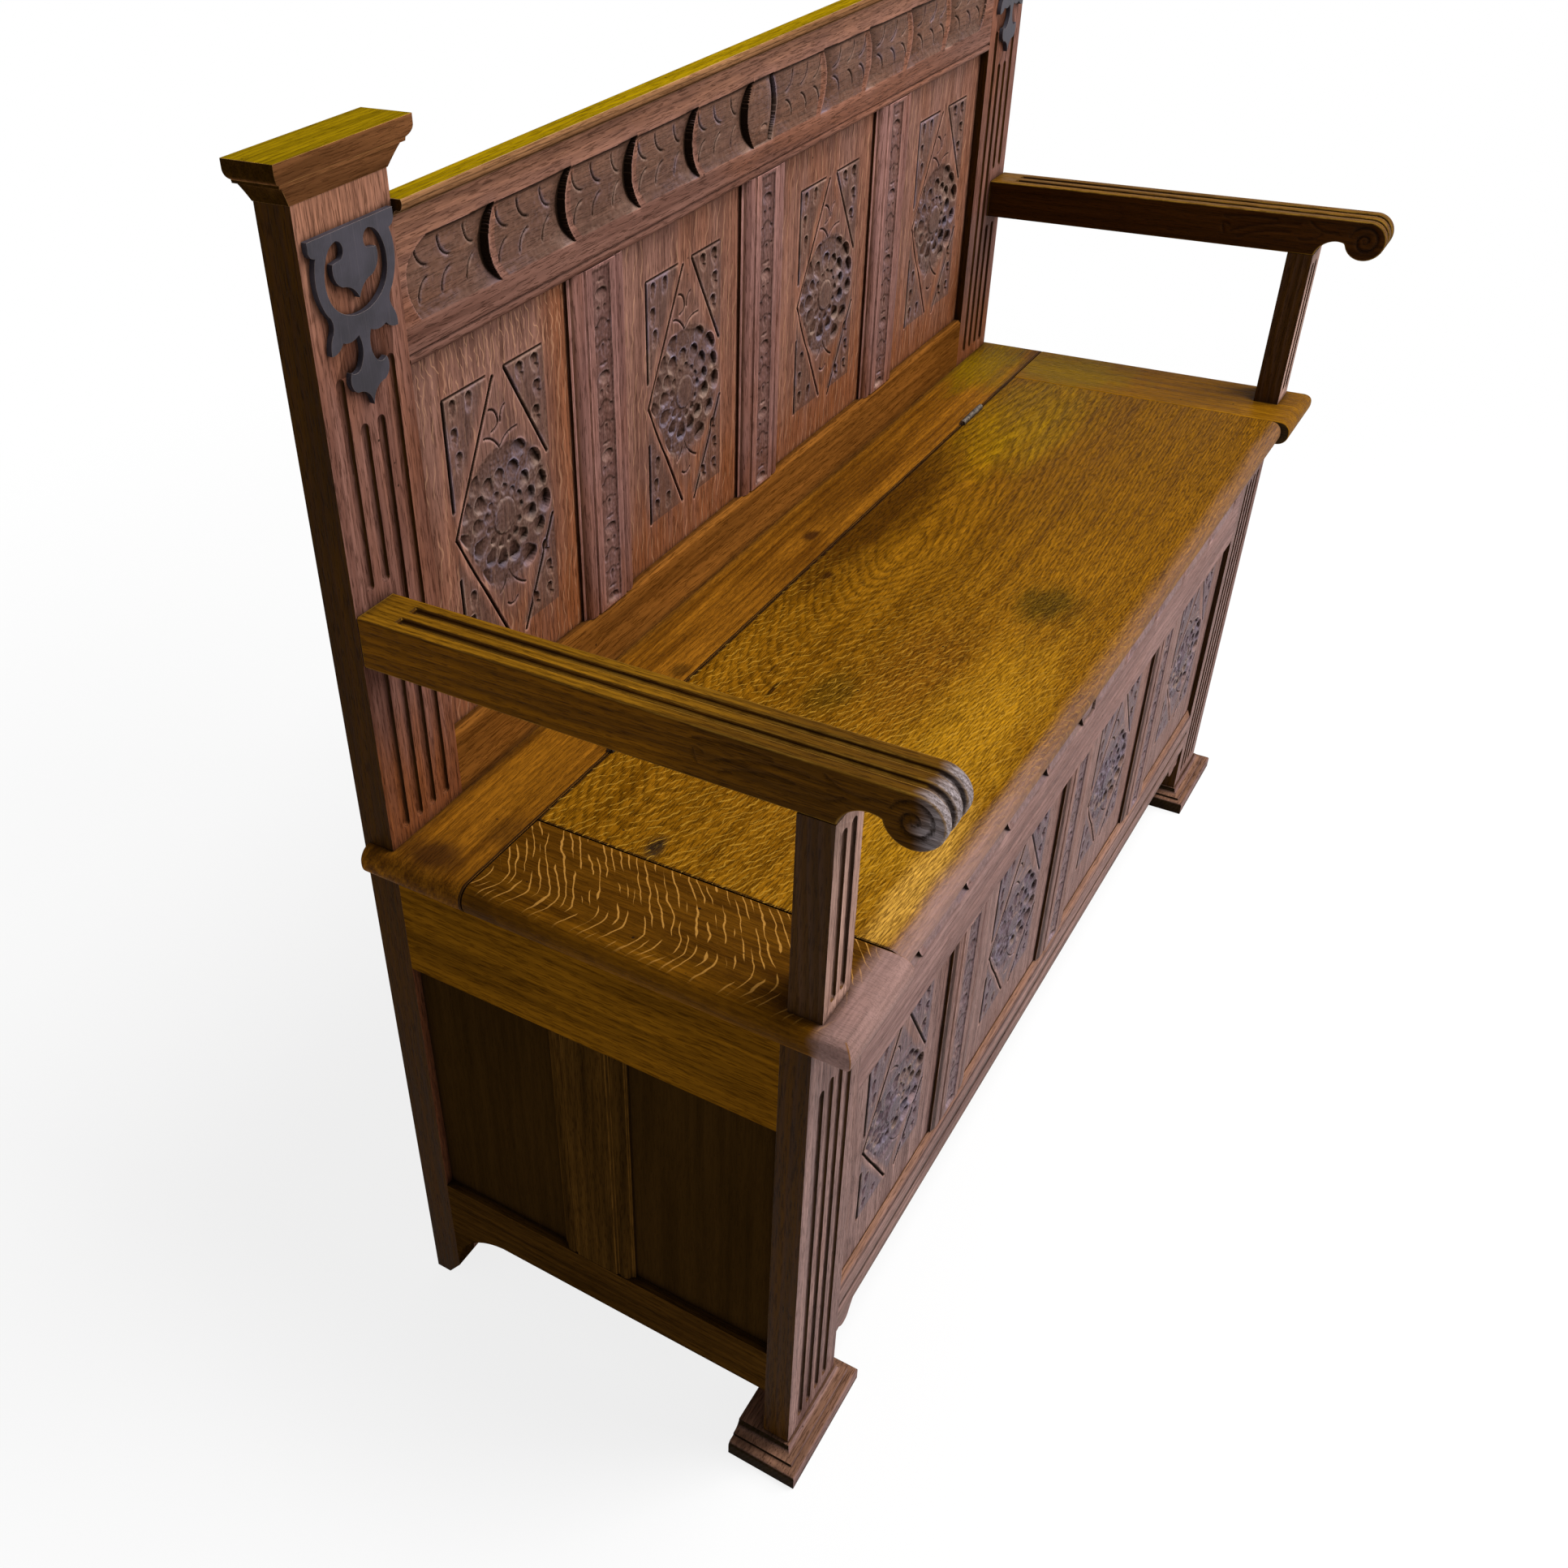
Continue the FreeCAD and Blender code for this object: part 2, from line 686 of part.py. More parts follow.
slope_depth = front_recess - 1.0
band_top = bottom_rail_low + bottom_rail_band
bottom_section = rail_section((front_y + bottom_rail_groove, bottom_rail_low), [
    [(front_y + bottom_rail_groove * 0.3, bottom_rail_low + bottom_rail_groove * 0.6),
     (front_y, bottom_rail_low + bottom_rail_groove * 2)],
    (front_y, band_top - bottom_rail_groove), (front_y + bottom_rail_groove, band_top),
    (front_y, band_top + bottom_rail_groove),
    (front_y, bottom_rail_top - bottom_rail_slope), (front_y + slope_depth, bottom_rail_top),
    (frame_rear, bottom_rail_top), (frame_rear, bottom_rail_low)])
parts["front_bottom_rail"] = long_rail(
    bottom_section, bottom_rail_tenon,
    [groove(p, "y") for p in front_panels]
    + muntin_mortises(front_y, bottom_rail_top - muntin_tenon, bottom_rail_top))


def corner_bracket():
    """A small shaped bracket in the corner between the left post and the bottom rail."""
    y0 = front_y + bracket_setback
    return prism("y", y0, y0 + bracket_thickness, (-inner_x, bottom_rail_low), [
        (-inner_x + bracket_width, bottom_rail_low),
        [(-inner_x + bracket_width * 0.8, bottom_rail_low - bracket_drop * 0.3),
         (-inner_x + bracket_width * 0.62, bottom_rail_low - bracket_drop * 0.75)],
        [(-inner_x + bracket_width * 0.45, bottom_rail_low - bracket_drop),
         (-inner_x + bracket_width * 0.25, bottom_rail_low - bracket_drop * 0.8)],
        (-inner_x, bottom_rail_low - bracket_drop * 0.9)])


left_bracket = corner_bracket()
parts["front_brackets"] = Part.makeCompound([left_bracket, mirrored(left_bracket)])


# Sides: two rails, a moulded muntin and two panels
def side_top_rail():
    rail = block((side_face, side_face + rail_thickness, frame_rear, stile_front,
                  side_rail_low, seat_underside))
    return side_rail_joined(rail, side_top_tenons, side_rail_low, side_rail_low + muntin_tenon)


def side_rail_joined(rail, tenons, mortise_low, mortise_high):
    for tenon in tenons:
        rail = rail.fuse(block(tenon))
    for panel in side_panels:
        rail = rail.cut(groove(panel, "x"))
    return rail.cut(mortise(side_muntin_tenon(mortise_low, mortise_high), "z"))


def side_muntin_tenon(low, high):
    x0 = side_face + (rail_thickness - tenon_thickness) / 2 + muntin_tenon_setback
    half = side_muntin_strip / 2
    return (x0, x0 + tenon_thickness, side_middle - half, side_middle + half, low, high)


def side_bottom_rail():
    """The lower edge sweeps down to meet the cut toe of the rear leg."""
    bend = stile_front - side_bracket_length
    middle = side_bottom_low - 0.22 * (side_bottom_low - leg_cut_height)
    rail = prism("x", side_face, side_face + rail_thickness, (frame_rear, side_bottom_low), [
        (frame_rear, side_bottom_top), (stile_front, side_bottom_top), (stile_front, leg_cut_height),
        [(stile_front - side_bracket_length * 0.42, middle), (bend, side_bottom_low)]])
    return side_rail_joined(rail, side_bottom_tenons, side_bottom_top - muntin_tenon, side_bottom_top)


def side_muntin():
    bar = moulded_muntin(side_muntin_width, side_muntin_strip, side_recess, side_bottom_top, side_rail_low)
    bar = placed(bar, side_face, side_middle, -90)
    bar = bar.fuse(block(side_muntin_tenon(side_bottom_top - muntin_tenon, side_rail_low + muntin_tenon)))
    for panel in side_panels:
        bar = bar.cut(groove(panel, "x"))
    return bar


parts["left_side_top_rail"] = side_top_rail()
parts["left_side_bottom_rail"] = side_bottom_rail()
parts["left_side_muntin"] = side_muntin()
parts["left_side_panels"] = Part.makeCompound([block(p) for p in side_panels])


# Rear of the box, its floor, and the cleat under the rear seat board
lower_section = rail_section((stile_front, side_bottom_low), [
    (stile_front, side_bottom_top), (back_rear, side_bottom_top), (back_rear, side_bottom_low)])
parts["rear_lower_rail"] = long_rail(lower_section, lower_rail_tenon, [groove(lower_panel, "y")])
parts["rear_lower_panel"] = block(lower_panel)

box_half = half_width - rail_thickness
floor_top = bearer_top + floor_thickness
floor_depth = stile_front - frame_rear - 2 * floor_play
board_depth = (floor_depth - (floor_board_count - 1) * floor_board_gap) / floor_board_count
floor_boards = []
for index in range(floor_board_count):
    y0 = frame_rear + floor_play + index * (board_depth + floor_board_gap)
    floor_boards.append(block((-box_half + floor_play, box_half - floor_play, y0, y0 + board_depth,
                               bearer_top, floor_top)))
parts["box_floor"] = Part.makeCompound(floor_boards)
bearer_half = inner_x - floor_play
parts["floor_bearers"] = Part.makeCompound([
    block((-bearer_half, bearer_half, frame_rear, frame_rear + bearer_size,
           bearer_top - bearer_size, bearer_top)),
    block((-bearer_half, bearer_half, stile_front - bearer_size, stile_front,
           bearer_top - bearer_size, bearer_top))])
parts["seat_cleat"] = block((-box_half, box_half, stile_front - cleat_size, stile_front,
                             seat_underside - cleat_size, seat_underside))


# Hinges: leaves let into the edges of the rear board and the lid, with the pin above the joint
def knuckle_spans(middle, odd):
    """The spans along X of every other knuckle, starting from the outermost or the next one."""
    length = hinge_length / knuckle_count
    start = middle - hinge_length / 2
    return [(start + index * length + knuckle_gap / 2, start + (index + 1) * length - knuckle_gap / 2)
            for index in range(odd, knuckle_count, 2)]


def screw_places(middle):
    return [(middle + step * screw_pitch, seat_height - leaf_height * 0.55) for step in (-1, 0, 1)]


def leaf_limits(middle, sign):
    """A leaf's plate: sign is 1 for the leaf on the rear board and -1 for the one on the lid."""
    near = lid_line + sign * lid_gap / 2
    far = near + sign * leaf_thickness
    return (middle - hinge_length / 2, middle + hinge_length / 2, min(near, far), max(near, far),
            seat_height - leaf_height, hinge_z - knuckle_radius * 0.6)


def cross_screw(x, z, y, sign, play):
    """A countersunk screw that runs away from the joint, its head flush with the leaf."""
    way = vector(0, sign, 0)
    start = vector(x, y, z)
    head = Part.makeCone(screw_head_radius + play, screw_radius + play, screw_head_height, start, way)
    return head.fuse(Part.makeCylinder(screw_radius + play, screw_length + play, start, way))


def hinge_leaf(middle, sign, odd):
    limits = leaf_limits(middle, sign)
    leaf = block(limits)
    for x0, x1 in knuckle_spans(middle, odd):
        knuckle_start = vector(x0, lid_line, hinge_z)
        leaf = leaf.fuse(Part.makeCylinder(knuckle_radius, x1 - x0, knuckle_start, vector(1, 0, 0)))
    for x0, x1 in knuckle_spans(middle, 1 - odd):
        clear_start = vector(x0 - knuckle_gap, lid_line, hinge_z)
        leaf = leaf.cut(Part.makeCylinder(knuckle_radius + knuckle_room, x1 - x0 + 2 * knuckle_gap,
                                          clear_start, vector(1, 0, 0)))
    bore_start = vector(middle - hinge_length / 2 - 1, lid_line, hinge_z)
    leaf = leaf.cut(Part.makeCylinder(hinge_pin_radius + hinge_bore_play, hinge_length + 2,
                                      bore_start, vector(1, 0, 0)))
    near = lid_line + sign * lid_gap / 2
    for x, z in screw_places(middle):
        leaf = leaf.cut(cross_screw(x, z, near, sign, screw_play))
    return leaf


def hinge_rebate(middle, sign):
    """Room in a board's edge for its leaf, the knuckles and the screws."""
    limits = grown(leaf_limits(middle, sign), leaf_play, leaf_play, leaf_play)
    tall = limits[:5] + (seat_height + 1.0,)
    gutter_start = vector(middle - hinge_length / 2 - knuckle_room, lid_line, hinge_z)
    gutter = Part.makeCylinder(knuckle_radius + knuckle_room, hinge_length + 2 * knuckle_room,
                               gutter_start, vector(1, 0, 0))
    cutters = [block(tall), gutter]
    near = lid_line + sign * lid_gap / 2
    return cutters + [cross_screw(x, z, near, sign, screw_play) for x, z in screw_places(middle)]


def hinge_screws(sign):
    screws = []
    near = lid_line + sign * lid_gap / 2
    for middle in (-hinge_place, hinge_place):
        screws += [cross_screw(x, z, near, sign, 0.0) for x, z in screw_places(middle)]
    return Part.makeCompound(screws)


parts["left_hinge_fixed_leaf"] = hinge_leaf(-hinge_place, 1, 0)
parts["left_hinge_lid_leaf"] = hinge_leaf(-hinge_place, -1, 1)
parts["right_hinge_fixed_leaf"] = hinge_leaf(hinge_place, 1, 0)
parts["right_hinge_lid_leaf"] = hinge_leaf(hinge_place, -1, 1)
parts["hinge_pins"] = Part.makeCompound([
    Part.makeCylinder(hinge_pin_radius, hinge_length,
                      vector(x - hinge_length / 2, lid_line, hinge_z), vector(1, 0, 0))
    for x in (-hinge_place, hinge_place)])
parts["fixed_hinge_screws"] = hinge_screws(1)
parts["lid_hinge_screws"] = hinge_screws(-1)


# Seat boards
def rear_board():
    board = rounded_board(-seat_half, seat_half, True, True, "y",
                          lid_line + lid_gap / 2, stile_rear - ear_setback)
    middle_limits = (-half_width - joint_play, half_width + joint_play, stile_front, stile_rear,
                     seat_underside - 1, seat_height + 1)
    board = board.cut(block(middle_limits))
    for middle in (-hinge_place, hinge_place):
        for cutter in hinge_rebate(middle, 1):
            board = board.cut(cutter)
    return board


def end_board():
    rear = lid_line - lid_gap / 2
    along = rounded_board(end_board_front, rear, True, False, "x", -seat_half, -inner_x)
    across = rounded_board(-seat_half, -inner_x, True, False, "y", end_board_front, rear)
    return along.common(across).cut(mortise(post_foot_tenon, "z"))


batten_front = lid_front + (seat_thickness - nose_flat) / 2 + batten_front_gap
batten_rear = lid_line - batten_rear_gap
batten_under = seat_underside - batten_thickness


def batten_limits(x):
    return (x - batten_width / 2, x + batten_width / 2, batten_front, batten_rear,
            batten_under, seat_underside)


def batten_screw(x, y, play):
    """A screw up through a batten into the lid, its head flush underneath."""
    start = vector(x, y, batten_under)
    upwards = vector(0, 0, 1)
    head = Part.makeCone(screw_head_radius + play, screw_radius + play, screw_head_height, start, upwards)
    return head.fuse(Part.makeCylinder(screw_radius + play, batten_screw_length + play, start, upwards))


def batten_screw_places():
    first = batten_front + batten_screw_inset
    last = batten_rear - batten_screw_inset
    return [(x, y) for x in (-batten_place, batten_place) for y in (first, (first + last) / 2, last)]


def lid_board():
    side = inner_x - lid_gap
    board = rounded_board(lid_front, lid_line - lid_gap / 2, True, False, "x", -side, side)
    for middle in (-hinge_place, hinge_place):
        for cutter in hinge_rebate(middle, -1):
            board = board.cut(cutter)
    for x, y in batten_screw_places():
        board = board.cut(batten_screw(x, y, screw_play))
    return board


def lid_battens():
    battens = []
    for x in (-batten_place, batten_place):
        batten = block(batten_limits(x))
        for screw_x, screw_y in batten_screw_places():
            if screw_x == x:
                batten = batten.cut(batten_screw(screw_x, screw_y, screw_play))
        battens.append(batten)
    return Part.makeCompound(battens)


parts["seat_rear_board"] = rear_board()
parts["left_seat_end_board"] = end_board()
parts["lid_board"] = lid_board()
parts["lid_battens"] = lid_battens()
parts["lid_batten_screws"] = Part.makeCompound([batten_screw(x, y, 0.0) for x, y in batten_screw_places()])


# Arms: a grooved top that rolls over into a scroll, on a fluted post
def arm_outline(inset):
    """The arm from the side; an inset lowers its top and draws in its scroll, for the grooves."""
    radius = arm_height / 2 - inset
    scroll_y = scroll_front + arm_height / 2
    scroll_z = arm_top - arm_height / 2
    meet_drop = arm_height * 0.12
    meet_y = scroll_y + (radius ** 2 - meet_drop ** 2) ** 0.5
    diagonal = radius * 0.7071
    start = (stile_front, scroll_z + radius)
    steps = [
        (scroll_y, scroll_z + radius),
        [(scroll_y - radius, scroll_z), (scroll_y, scroll_z - radius)],
        [(scroll_y + diagonal, scroll_z - diagonal), (meet_y, scroll_z - meet_drop)],
        [(arm_post_front - arm_arch_rise / 2, arm_bottom + arm_arch_rise * 0.82),
         (arm_post_front, arm_bottom)],
        (stile_front, arm_bottom),
    ]
    return start, steps


def arm():
    start, steps = arm_outline(0.0)
    bar = prism("x", arm_outer, arm_inner, start, steps)
    rib = (arm_width - 2 * arm_groove_width) / 3
    start, steps = arm_outline(arm_groove_depth)
    for index in range(2):
        x0 = arm_outer + rib + index * (rib + arm_groove_width)
        ring = block((x0, x0 + arm_groove_width, scroll_front - 1, stile_front - arm_groove_stop,
                      arm_bottom - 1, arm_top + 1))
        under = block((x0 - 1, x0 + arm_groove_width + 1, scroll_front + arm_height / 2,
                       stile_front, arm_bottom - 1, arm_top - arm_height / 2))
        bar = bar.cut(ring.cut(prism("x", x0 - 1, x0 + arm_groove_width + 1, start, steps)).cut(under))
    bar = bar.fuse(block(arm_rear_tenon))
    return bar.cut(mortise(post_top_tenon, "z"))


def arm_post():
    post = block((arm_outer, arm_inner, arm_post_front, arm_post_rear, seat_height, arm_bottom))
    post = post.fuse(block(post_top_tenon)).fuse(block(post_foot_tenon))
    for x in flute_places(arm_middle, arm_flute_pitch, 2):
        post = post.cut(flute(x, arm_post_front, seat_height + flute_margin, arm_bottom - flute_margin))
    return post


parts["left_arm"] = arm()
parts["left_arm_post"] = arm_post()

for name in [n for n in parts if n.startswith("left_") and "hinge" not in n]:
    if name == "left_side_panels":
        parts["right_side_panels"] = Part.makeCompound([mirrored(s) for s in parts[name].Solids])
    else:
        parts["right_" + name[5:]] = mirrored(parts[name])

os.makedirs("parts", exist_ok=True)
for name, shape in parts.items():
    solids = shape.Solids
    if not shape.isValid() or not solids:
        print("not a valid solid:", name)
    shape.exportStep("parts/%s.step" % name)
print(len(parts), "parts,", sum(len(shape.Solids) for shape in parts.values()), "solids")
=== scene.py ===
import json
import math

import bmesh
import bpy
import numpy as np
from mathutils import Matrix, Vector


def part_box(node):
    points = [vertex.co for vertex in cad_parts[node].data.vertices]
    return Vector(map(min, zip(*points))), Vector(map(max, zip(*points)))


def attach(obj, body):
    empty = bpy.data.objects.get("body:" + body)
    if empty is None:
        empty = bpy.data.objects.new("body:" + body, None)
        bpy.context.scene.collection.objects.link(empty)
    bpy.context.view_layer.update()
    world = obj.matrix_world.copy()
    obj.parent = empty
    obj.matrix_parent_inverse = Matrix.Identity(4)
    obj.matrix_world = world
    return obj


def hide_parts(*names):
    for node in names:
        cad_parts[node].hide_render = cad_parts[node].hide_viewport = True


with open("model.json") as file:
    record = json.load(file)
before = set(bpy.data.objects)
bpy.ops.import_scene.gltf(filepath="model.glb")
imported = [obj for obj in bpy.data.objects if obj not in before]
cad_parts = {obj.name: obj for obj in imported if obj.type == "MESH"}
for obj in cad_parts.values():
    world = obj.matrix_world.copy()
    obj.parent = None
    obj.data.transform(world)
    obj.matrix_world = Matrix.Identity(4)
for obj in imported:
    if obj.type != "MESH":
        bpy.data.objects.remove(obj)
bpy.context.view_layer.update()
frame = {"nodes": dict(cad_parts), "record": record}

# Hall bench of carved oak. The frame is in metres; carving is worked out in millimetres.
MM = 0.001

# Camera, as the photograph was taken
eye = Vector((-1.1624, -0.4217, 1.1715))
looks = Vector((0.63526, 0.47185, -0.61139))
right_hand = Vector((0.55938, -0.82695, -0.05700))
focal_px = 1872.6
picture_px = 1932.0
centre_px = (693.8, 1017.9)
sensor_mm = 36.0

# Frieze: each lobe starts at an outer lip and dips under the next lip towards the middle
left_lips = (-462, -378.5, -291.5, -207.5, -122.5, -37)
right_lips = (-448, -361, -274, -187, -100, -13)     # mirrored, outermost first
frieze_rise = 24           # carved band above its middle
frieze_fall = 25
band_depth = 1.8
lip_depth = 5
lip_bulge = 9.5
lobe_cuts = (12, 35, 61)
lobe_arcs = ((18, 165, 272), (-13.5, 92, 192))      # height, first and last degree of the two arcs of each cut
frieze_reach = 466
frieze_z = {"back": 875, "front": 434}

# Panels: a rosette in an open lozenge. The front row's is lower, and its lines are wider and painted blacker, as
# painted shade in the cuts.
field_z = {"back": 690, "front": 257}
line_width = {"back": 3.8, "front": 5.2}
line_shade = {"back": 1.4, "front": 3}
lozenge_matt = {"back": 0.4, "front": 0.7}
field_rise = {"back": 1, "front": 0.92}
field_drop = {"back": 1, "front": 0.79}
field_shift = {"back": (2.6, 3, 7, 5), "front": (1, 1, 1, 1)}
lozenge_half = (57, 100)
field_side, field_foot, field_head = 61, 109, 104          # limits of the carving to the sides, below and above
field_lines = (((-57, 99), (-57, 21)), ((-57, -32), (-57, -100)), ((-57, 0), (-2, 97)), ((12, 99), (55, 22)),
               ((57, -29), (14, -106)), ((-57, 0), (-6, -100)))
top_lines = (((-57, 100), (-10, 100)), ((12, 100), (56, 100)))
leaf_cuts = (((-17, 58), (-7, 57), (0, 46)), ((0, 46), (6, 55), (21, 54)), ((-9, 76), (-1, 75), (0, 67)),
             ((0, 67), (1, 61), (-8, 60)), ((9, 74), (3, 72), (3, 64)), ((0, -49), (4, -61), (17, -67)),
             ((-14, -62), (-7, -58), (-4, -52)), ((-6, -74), (0, -80), (6, -74)))
rosette_v = -6
# inner radius, length, width, depth, number and first angle of the scoops in each ring
rosette_rings = ((12, 11, 8.5, 3, 13, 0), (20.5, 18, 14.5, 5.2, 13, -19),
                 (36.5, 18, 18, 5, 15, -10))
drop_places = ((47, 96), (29, 96), (48, 77), (45, 59))

# Muntins: a chain of husks
husk_tops = {"back": 871.5, "front": 395}
husk_pitch = 61.5
strip_half = 11.5
# each cut of a husk: where it starts, its way in degrees, its length, width and depth
husk_cuts = ((0, -13, 90, 12.5, 21, 3.4), (0, 10.5, 270, 6.5, 19, 1.6), (5.8, -24, 100, 11, 9, 1.6),
             (-5.8, -24, 80, 11, 9, 1.6), (5.6, -38, 78, 12, 9, 1.6), (-5.6, -38, 102, 12, 9, 1.6),
             (5.6, -49, 70, 9, 7, 1.2), (-5.6, -49, 110, 9, 7, 1.2), (0, -57, 90, 16, 7, 2))
husk_arcs = ((-9.5, 9.3, 1), (-27, 5, 0.8), (-31, 8.4, 0.75), (-46, 7.6, 0.7))     # height, radius, black (painted shade)

# Scroll of the arms, and the leaf over the post
arm_low, arm_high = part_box("left_arm")
scroll_radius = (arm_high[2] - arm_low[2]) / 2 / MM
scroll_y = arm_low[1] / MM + scroll_radius
scroll_z = arm_high[2] / MM - scroll_radius
leaf_reach = 150
arm_cuts = (((-62, 9), (-96, 10), (-126, -4)), ((-70, 1), (-98, 2), (-118, -9)), ((-52, 13), (-40, 2), (-26, 6)),
            ((-128, 2), (-138, 8), (-132, -6)), ((-60, -4), (-48, -6), (-40, 2)), ((-84, 12), (-104, 15), (-134, 10)))

cell_mm = {"rail": (0.76, 1.6), "panel": (0.65, 1.4), "muntin": (0.7, 1.2), "arm": (1.3, 3)}

# How far edges are worn round, and from which angle on: the edges of flutes stay sharp
plain_ease, small_ease, cap_ease, carved_ease, arm_ease = 1, 0.35, 3.2, 0.6, 1.6
worn_deg, fluted_deg = 35, 80
crease_deg = 40


def box_mm(node):
    """A node's limits in millimetres: (x0, x1, y0, y1, z0, z1)."""
    low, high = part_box(node)
    return tuple(v / MM for pair in zip(low, high) for v in pair)


# Colours
def tone(red, green, blue):
    """A linear colour from the levels that it shows on a screen."""
    def linear(level):
        level /= 255
        return level / 12.92 if level <= 0.04045 else ((level + 0.055) / 1.055) ** 2.4
    return (linear(red), linear(green), linear(blue), 1.0)


def shade(colour, factor):
    """A colour made darker or paler."""
    return tuple(min(1.0, c * factor) for c in colour[:3]) + (1.0,)


# Near-black brown: real dirt in specks and joints, and the colour of painted shade in corners, hollows and carved
# walls, and of painted shadow lines.
dirt_and_shade = tone(30, 19, 12)
ridge_wear_and_sheen = tone(138, 126, 142)     # pale of a carved ground's rubbed ridges, and its painted sheen on walls that look up
dull_ridge_wear_and_sheen = tone(156, 130, 116)
rear_tint = (132, 96, 62)       # faces that look to the wall
lift = (1.5, 1.5, 1.5, 1.0)     # what fibres and pores multiply a colour by
sink = (0.42, 0.38, 0.34, 1.0)
speck_share = 0.06
# strength of the painted shade that ambient occlusion lays in corners, creases and gaps
occlusion_shade = 0.8
GRAIN = {"x": (0, 1, 2), "y": (1, 0, 2), "z": (2, 0, 1)}        # along, across and deep


class Shader:
    """Builds the nodes of a material or a world, one call for each node."""

    def __init__(self, owner):
        owner.use_nodes = True
        self.owner = owner
        self.tree = owner.node_tree
        self.tree.nodes.clear()

    def put(self, socket, value):
        if isinstance(value, bpy.types.NodeSocket):
            self.tree.links.new(value, socket)
        elif value is not None:
            socket.default_value = value

    def add(self, kind, inputs, output=0, **settings):
        node = self.tree.nodes.new("ShaderNode" + kind)
        for key, value in settings.items():
            setattr(node, key, value)
        for key, value in inputs.items():
            self.put(node.inputs[key], value)
        return node.outputs[output] if node.outputs else None

    def math(self, operation, a, b=None, c=None, clamp=False):
        return self.add("Math", {0: a, 1: b, 2: c}, operation=operation, use_clamp=clamp)

    def times(self, *factors):
        product = factors[0]
        for factor in factors[1:]:
            product = self.math("MULTIPLY", product, factor)
        return product

    def plus(self, a, b):
        return self.math("ADD", a, b)

    def minus(self, a, b):
        return self.math("SUBTRACT", a, b)

    def mix(self, factor, a, b, blend="MIX"):
        return self.add("Mix", {0: factor, 6: a, 7: b}, output=2, data_type="RGBA", blend_type=blend)

    def span(self, value, low, high, to_low=0, to_high=1, **settings):
        return self.add("MapRange", {0: value, 1: low, 2: high, 3: to_low, 4: to_high}, **settings)

    def smooth(self, *limits):
        return self.span(*limits, interpolation_type="SMOOTHSTEP")

    def noise(self, vector, scale, detail=3, roughness=0.5):
        return self.add("TexNoise", {"Vector": vector, "Scale": scale, "Detail": detail, "Roughness": roughness})

    def wander(self, vector, size, detail=2, roughness=0.5):
        """A smooth random offset to either side of zero."""
        return self.times(self.minus(self.noise(vector, 1, detail, roughness), 0.5), size)

    def mottled(self, field, low, high, tint, darker):
        """A tint, made darker where a noise is low."""
        tint = tone(*tint)
        return self.mix(self.smooth(field, low, high), shade(tint, darker), tint)

    def stretched(self, vector, along, across, deep=None):
        scale = (along, across, across if deep is None else deep)
        return self.add("Mapping", {"Vector": vector, "Scale": scale})

    def split(self, vector):
        return self.add("SeparateXYZ", {0: vector}).node.outputs

    def join(self, x, y, z):
        return self.add("CombineXYZ", {0: x, 1: y, 2: z})

    def grained(self, scale, detail, roughness=0.5):
        """A noise drawn out along the grain."""
        return self.noise(self.stretched(self.grain, *scale), 1, detail, roughness)

    def lay(self, factor, colour):
        """Lays a colour over the board's own."""
        self.colour = self.mix(factor, self.colour, colour)

    def place_in_object(self):
        return self.add("TexCoord", {}, output=3)

    def field(self, name):
        """A value that the mesh holds at its points."""
        return self.add("Attribute", {}, output=2, attribute_name=name)

    def surface(self, colour, roughness, bump=None, gloss=0.5, metal=0):
        """A plain shader. bump is (strength, distance, height)."""
        if bump:
            bump = self.add("Bump", dict(zip(("Strength", "Distance", "Height"), bump)))
        return self.add("BsdfPrincipled", {"Base Color": colour, "Roughness": roughness, "Normal": bump,
                                           "Specular IOR Level": gloss, "Metallic": metal})

    def finish(self, shader):
        """Puts a shader on the material, and gives the material."""
        self.add("OutputMaterial", {0: shader})
        return self.owner


# Rays and rings of a board
def slanting(first, second, angle):
    """Rays that run straight across a board, at an angle from its first coordinate."""
    def course(s):
        a, b = math.cos(math.radians(angle)), math.sin(math.radians(angle))
        p, q = s.spot[first], s.spot[second]
        return s.plus(s.times(p, a), s.times(q, b)), s.plus(s.times(p, -b), s.times(q, a))
    return course


def bent_rays(s):
    """Rays that sag near a board's left edge and rise to its right edge."""
    off = s.plus(s.spot[0], 0.535)
    rise = s.math("SQRT", s.plus(s.times(off, off), 0.0001))
    sag = s.plus(s.times(off, 0.06), s.times(rise, 0.72))
    return s.plus(s.spot[0], s.times(s.spot[1], 0.3)), s.minus(s.spot[1], sag)


# Lid, cut near the heart of the tree: tips of the arches and rings per metre to the right and left, the arches'
# middle line, and how fast they spread
right_tip, right_pull, left_tip, left_pull = 0.10, 22, 0, 60
crown_middle, crown_lean, crown_spread = 0.058, 73, 745


def crown_rings(s, along, across, sway):
    """Nested arches about a line, with tips both ways along the grain."""
    off = s.plus(s.minus(across, crown_middle), sway)
    away = s.math("SQRT", s.plus(s.times(off, off), 0.00002))
    tips = s.math("SMOOTH_MAX", s.times(s.minus(along, right_tip), right_pull),
                  s.times(s.minus(left_tip, along), left_pull), 2)
    return s.plus(tips, s.plus(s.times(away, crown_lean), s.times(off, off, crown_spread)))


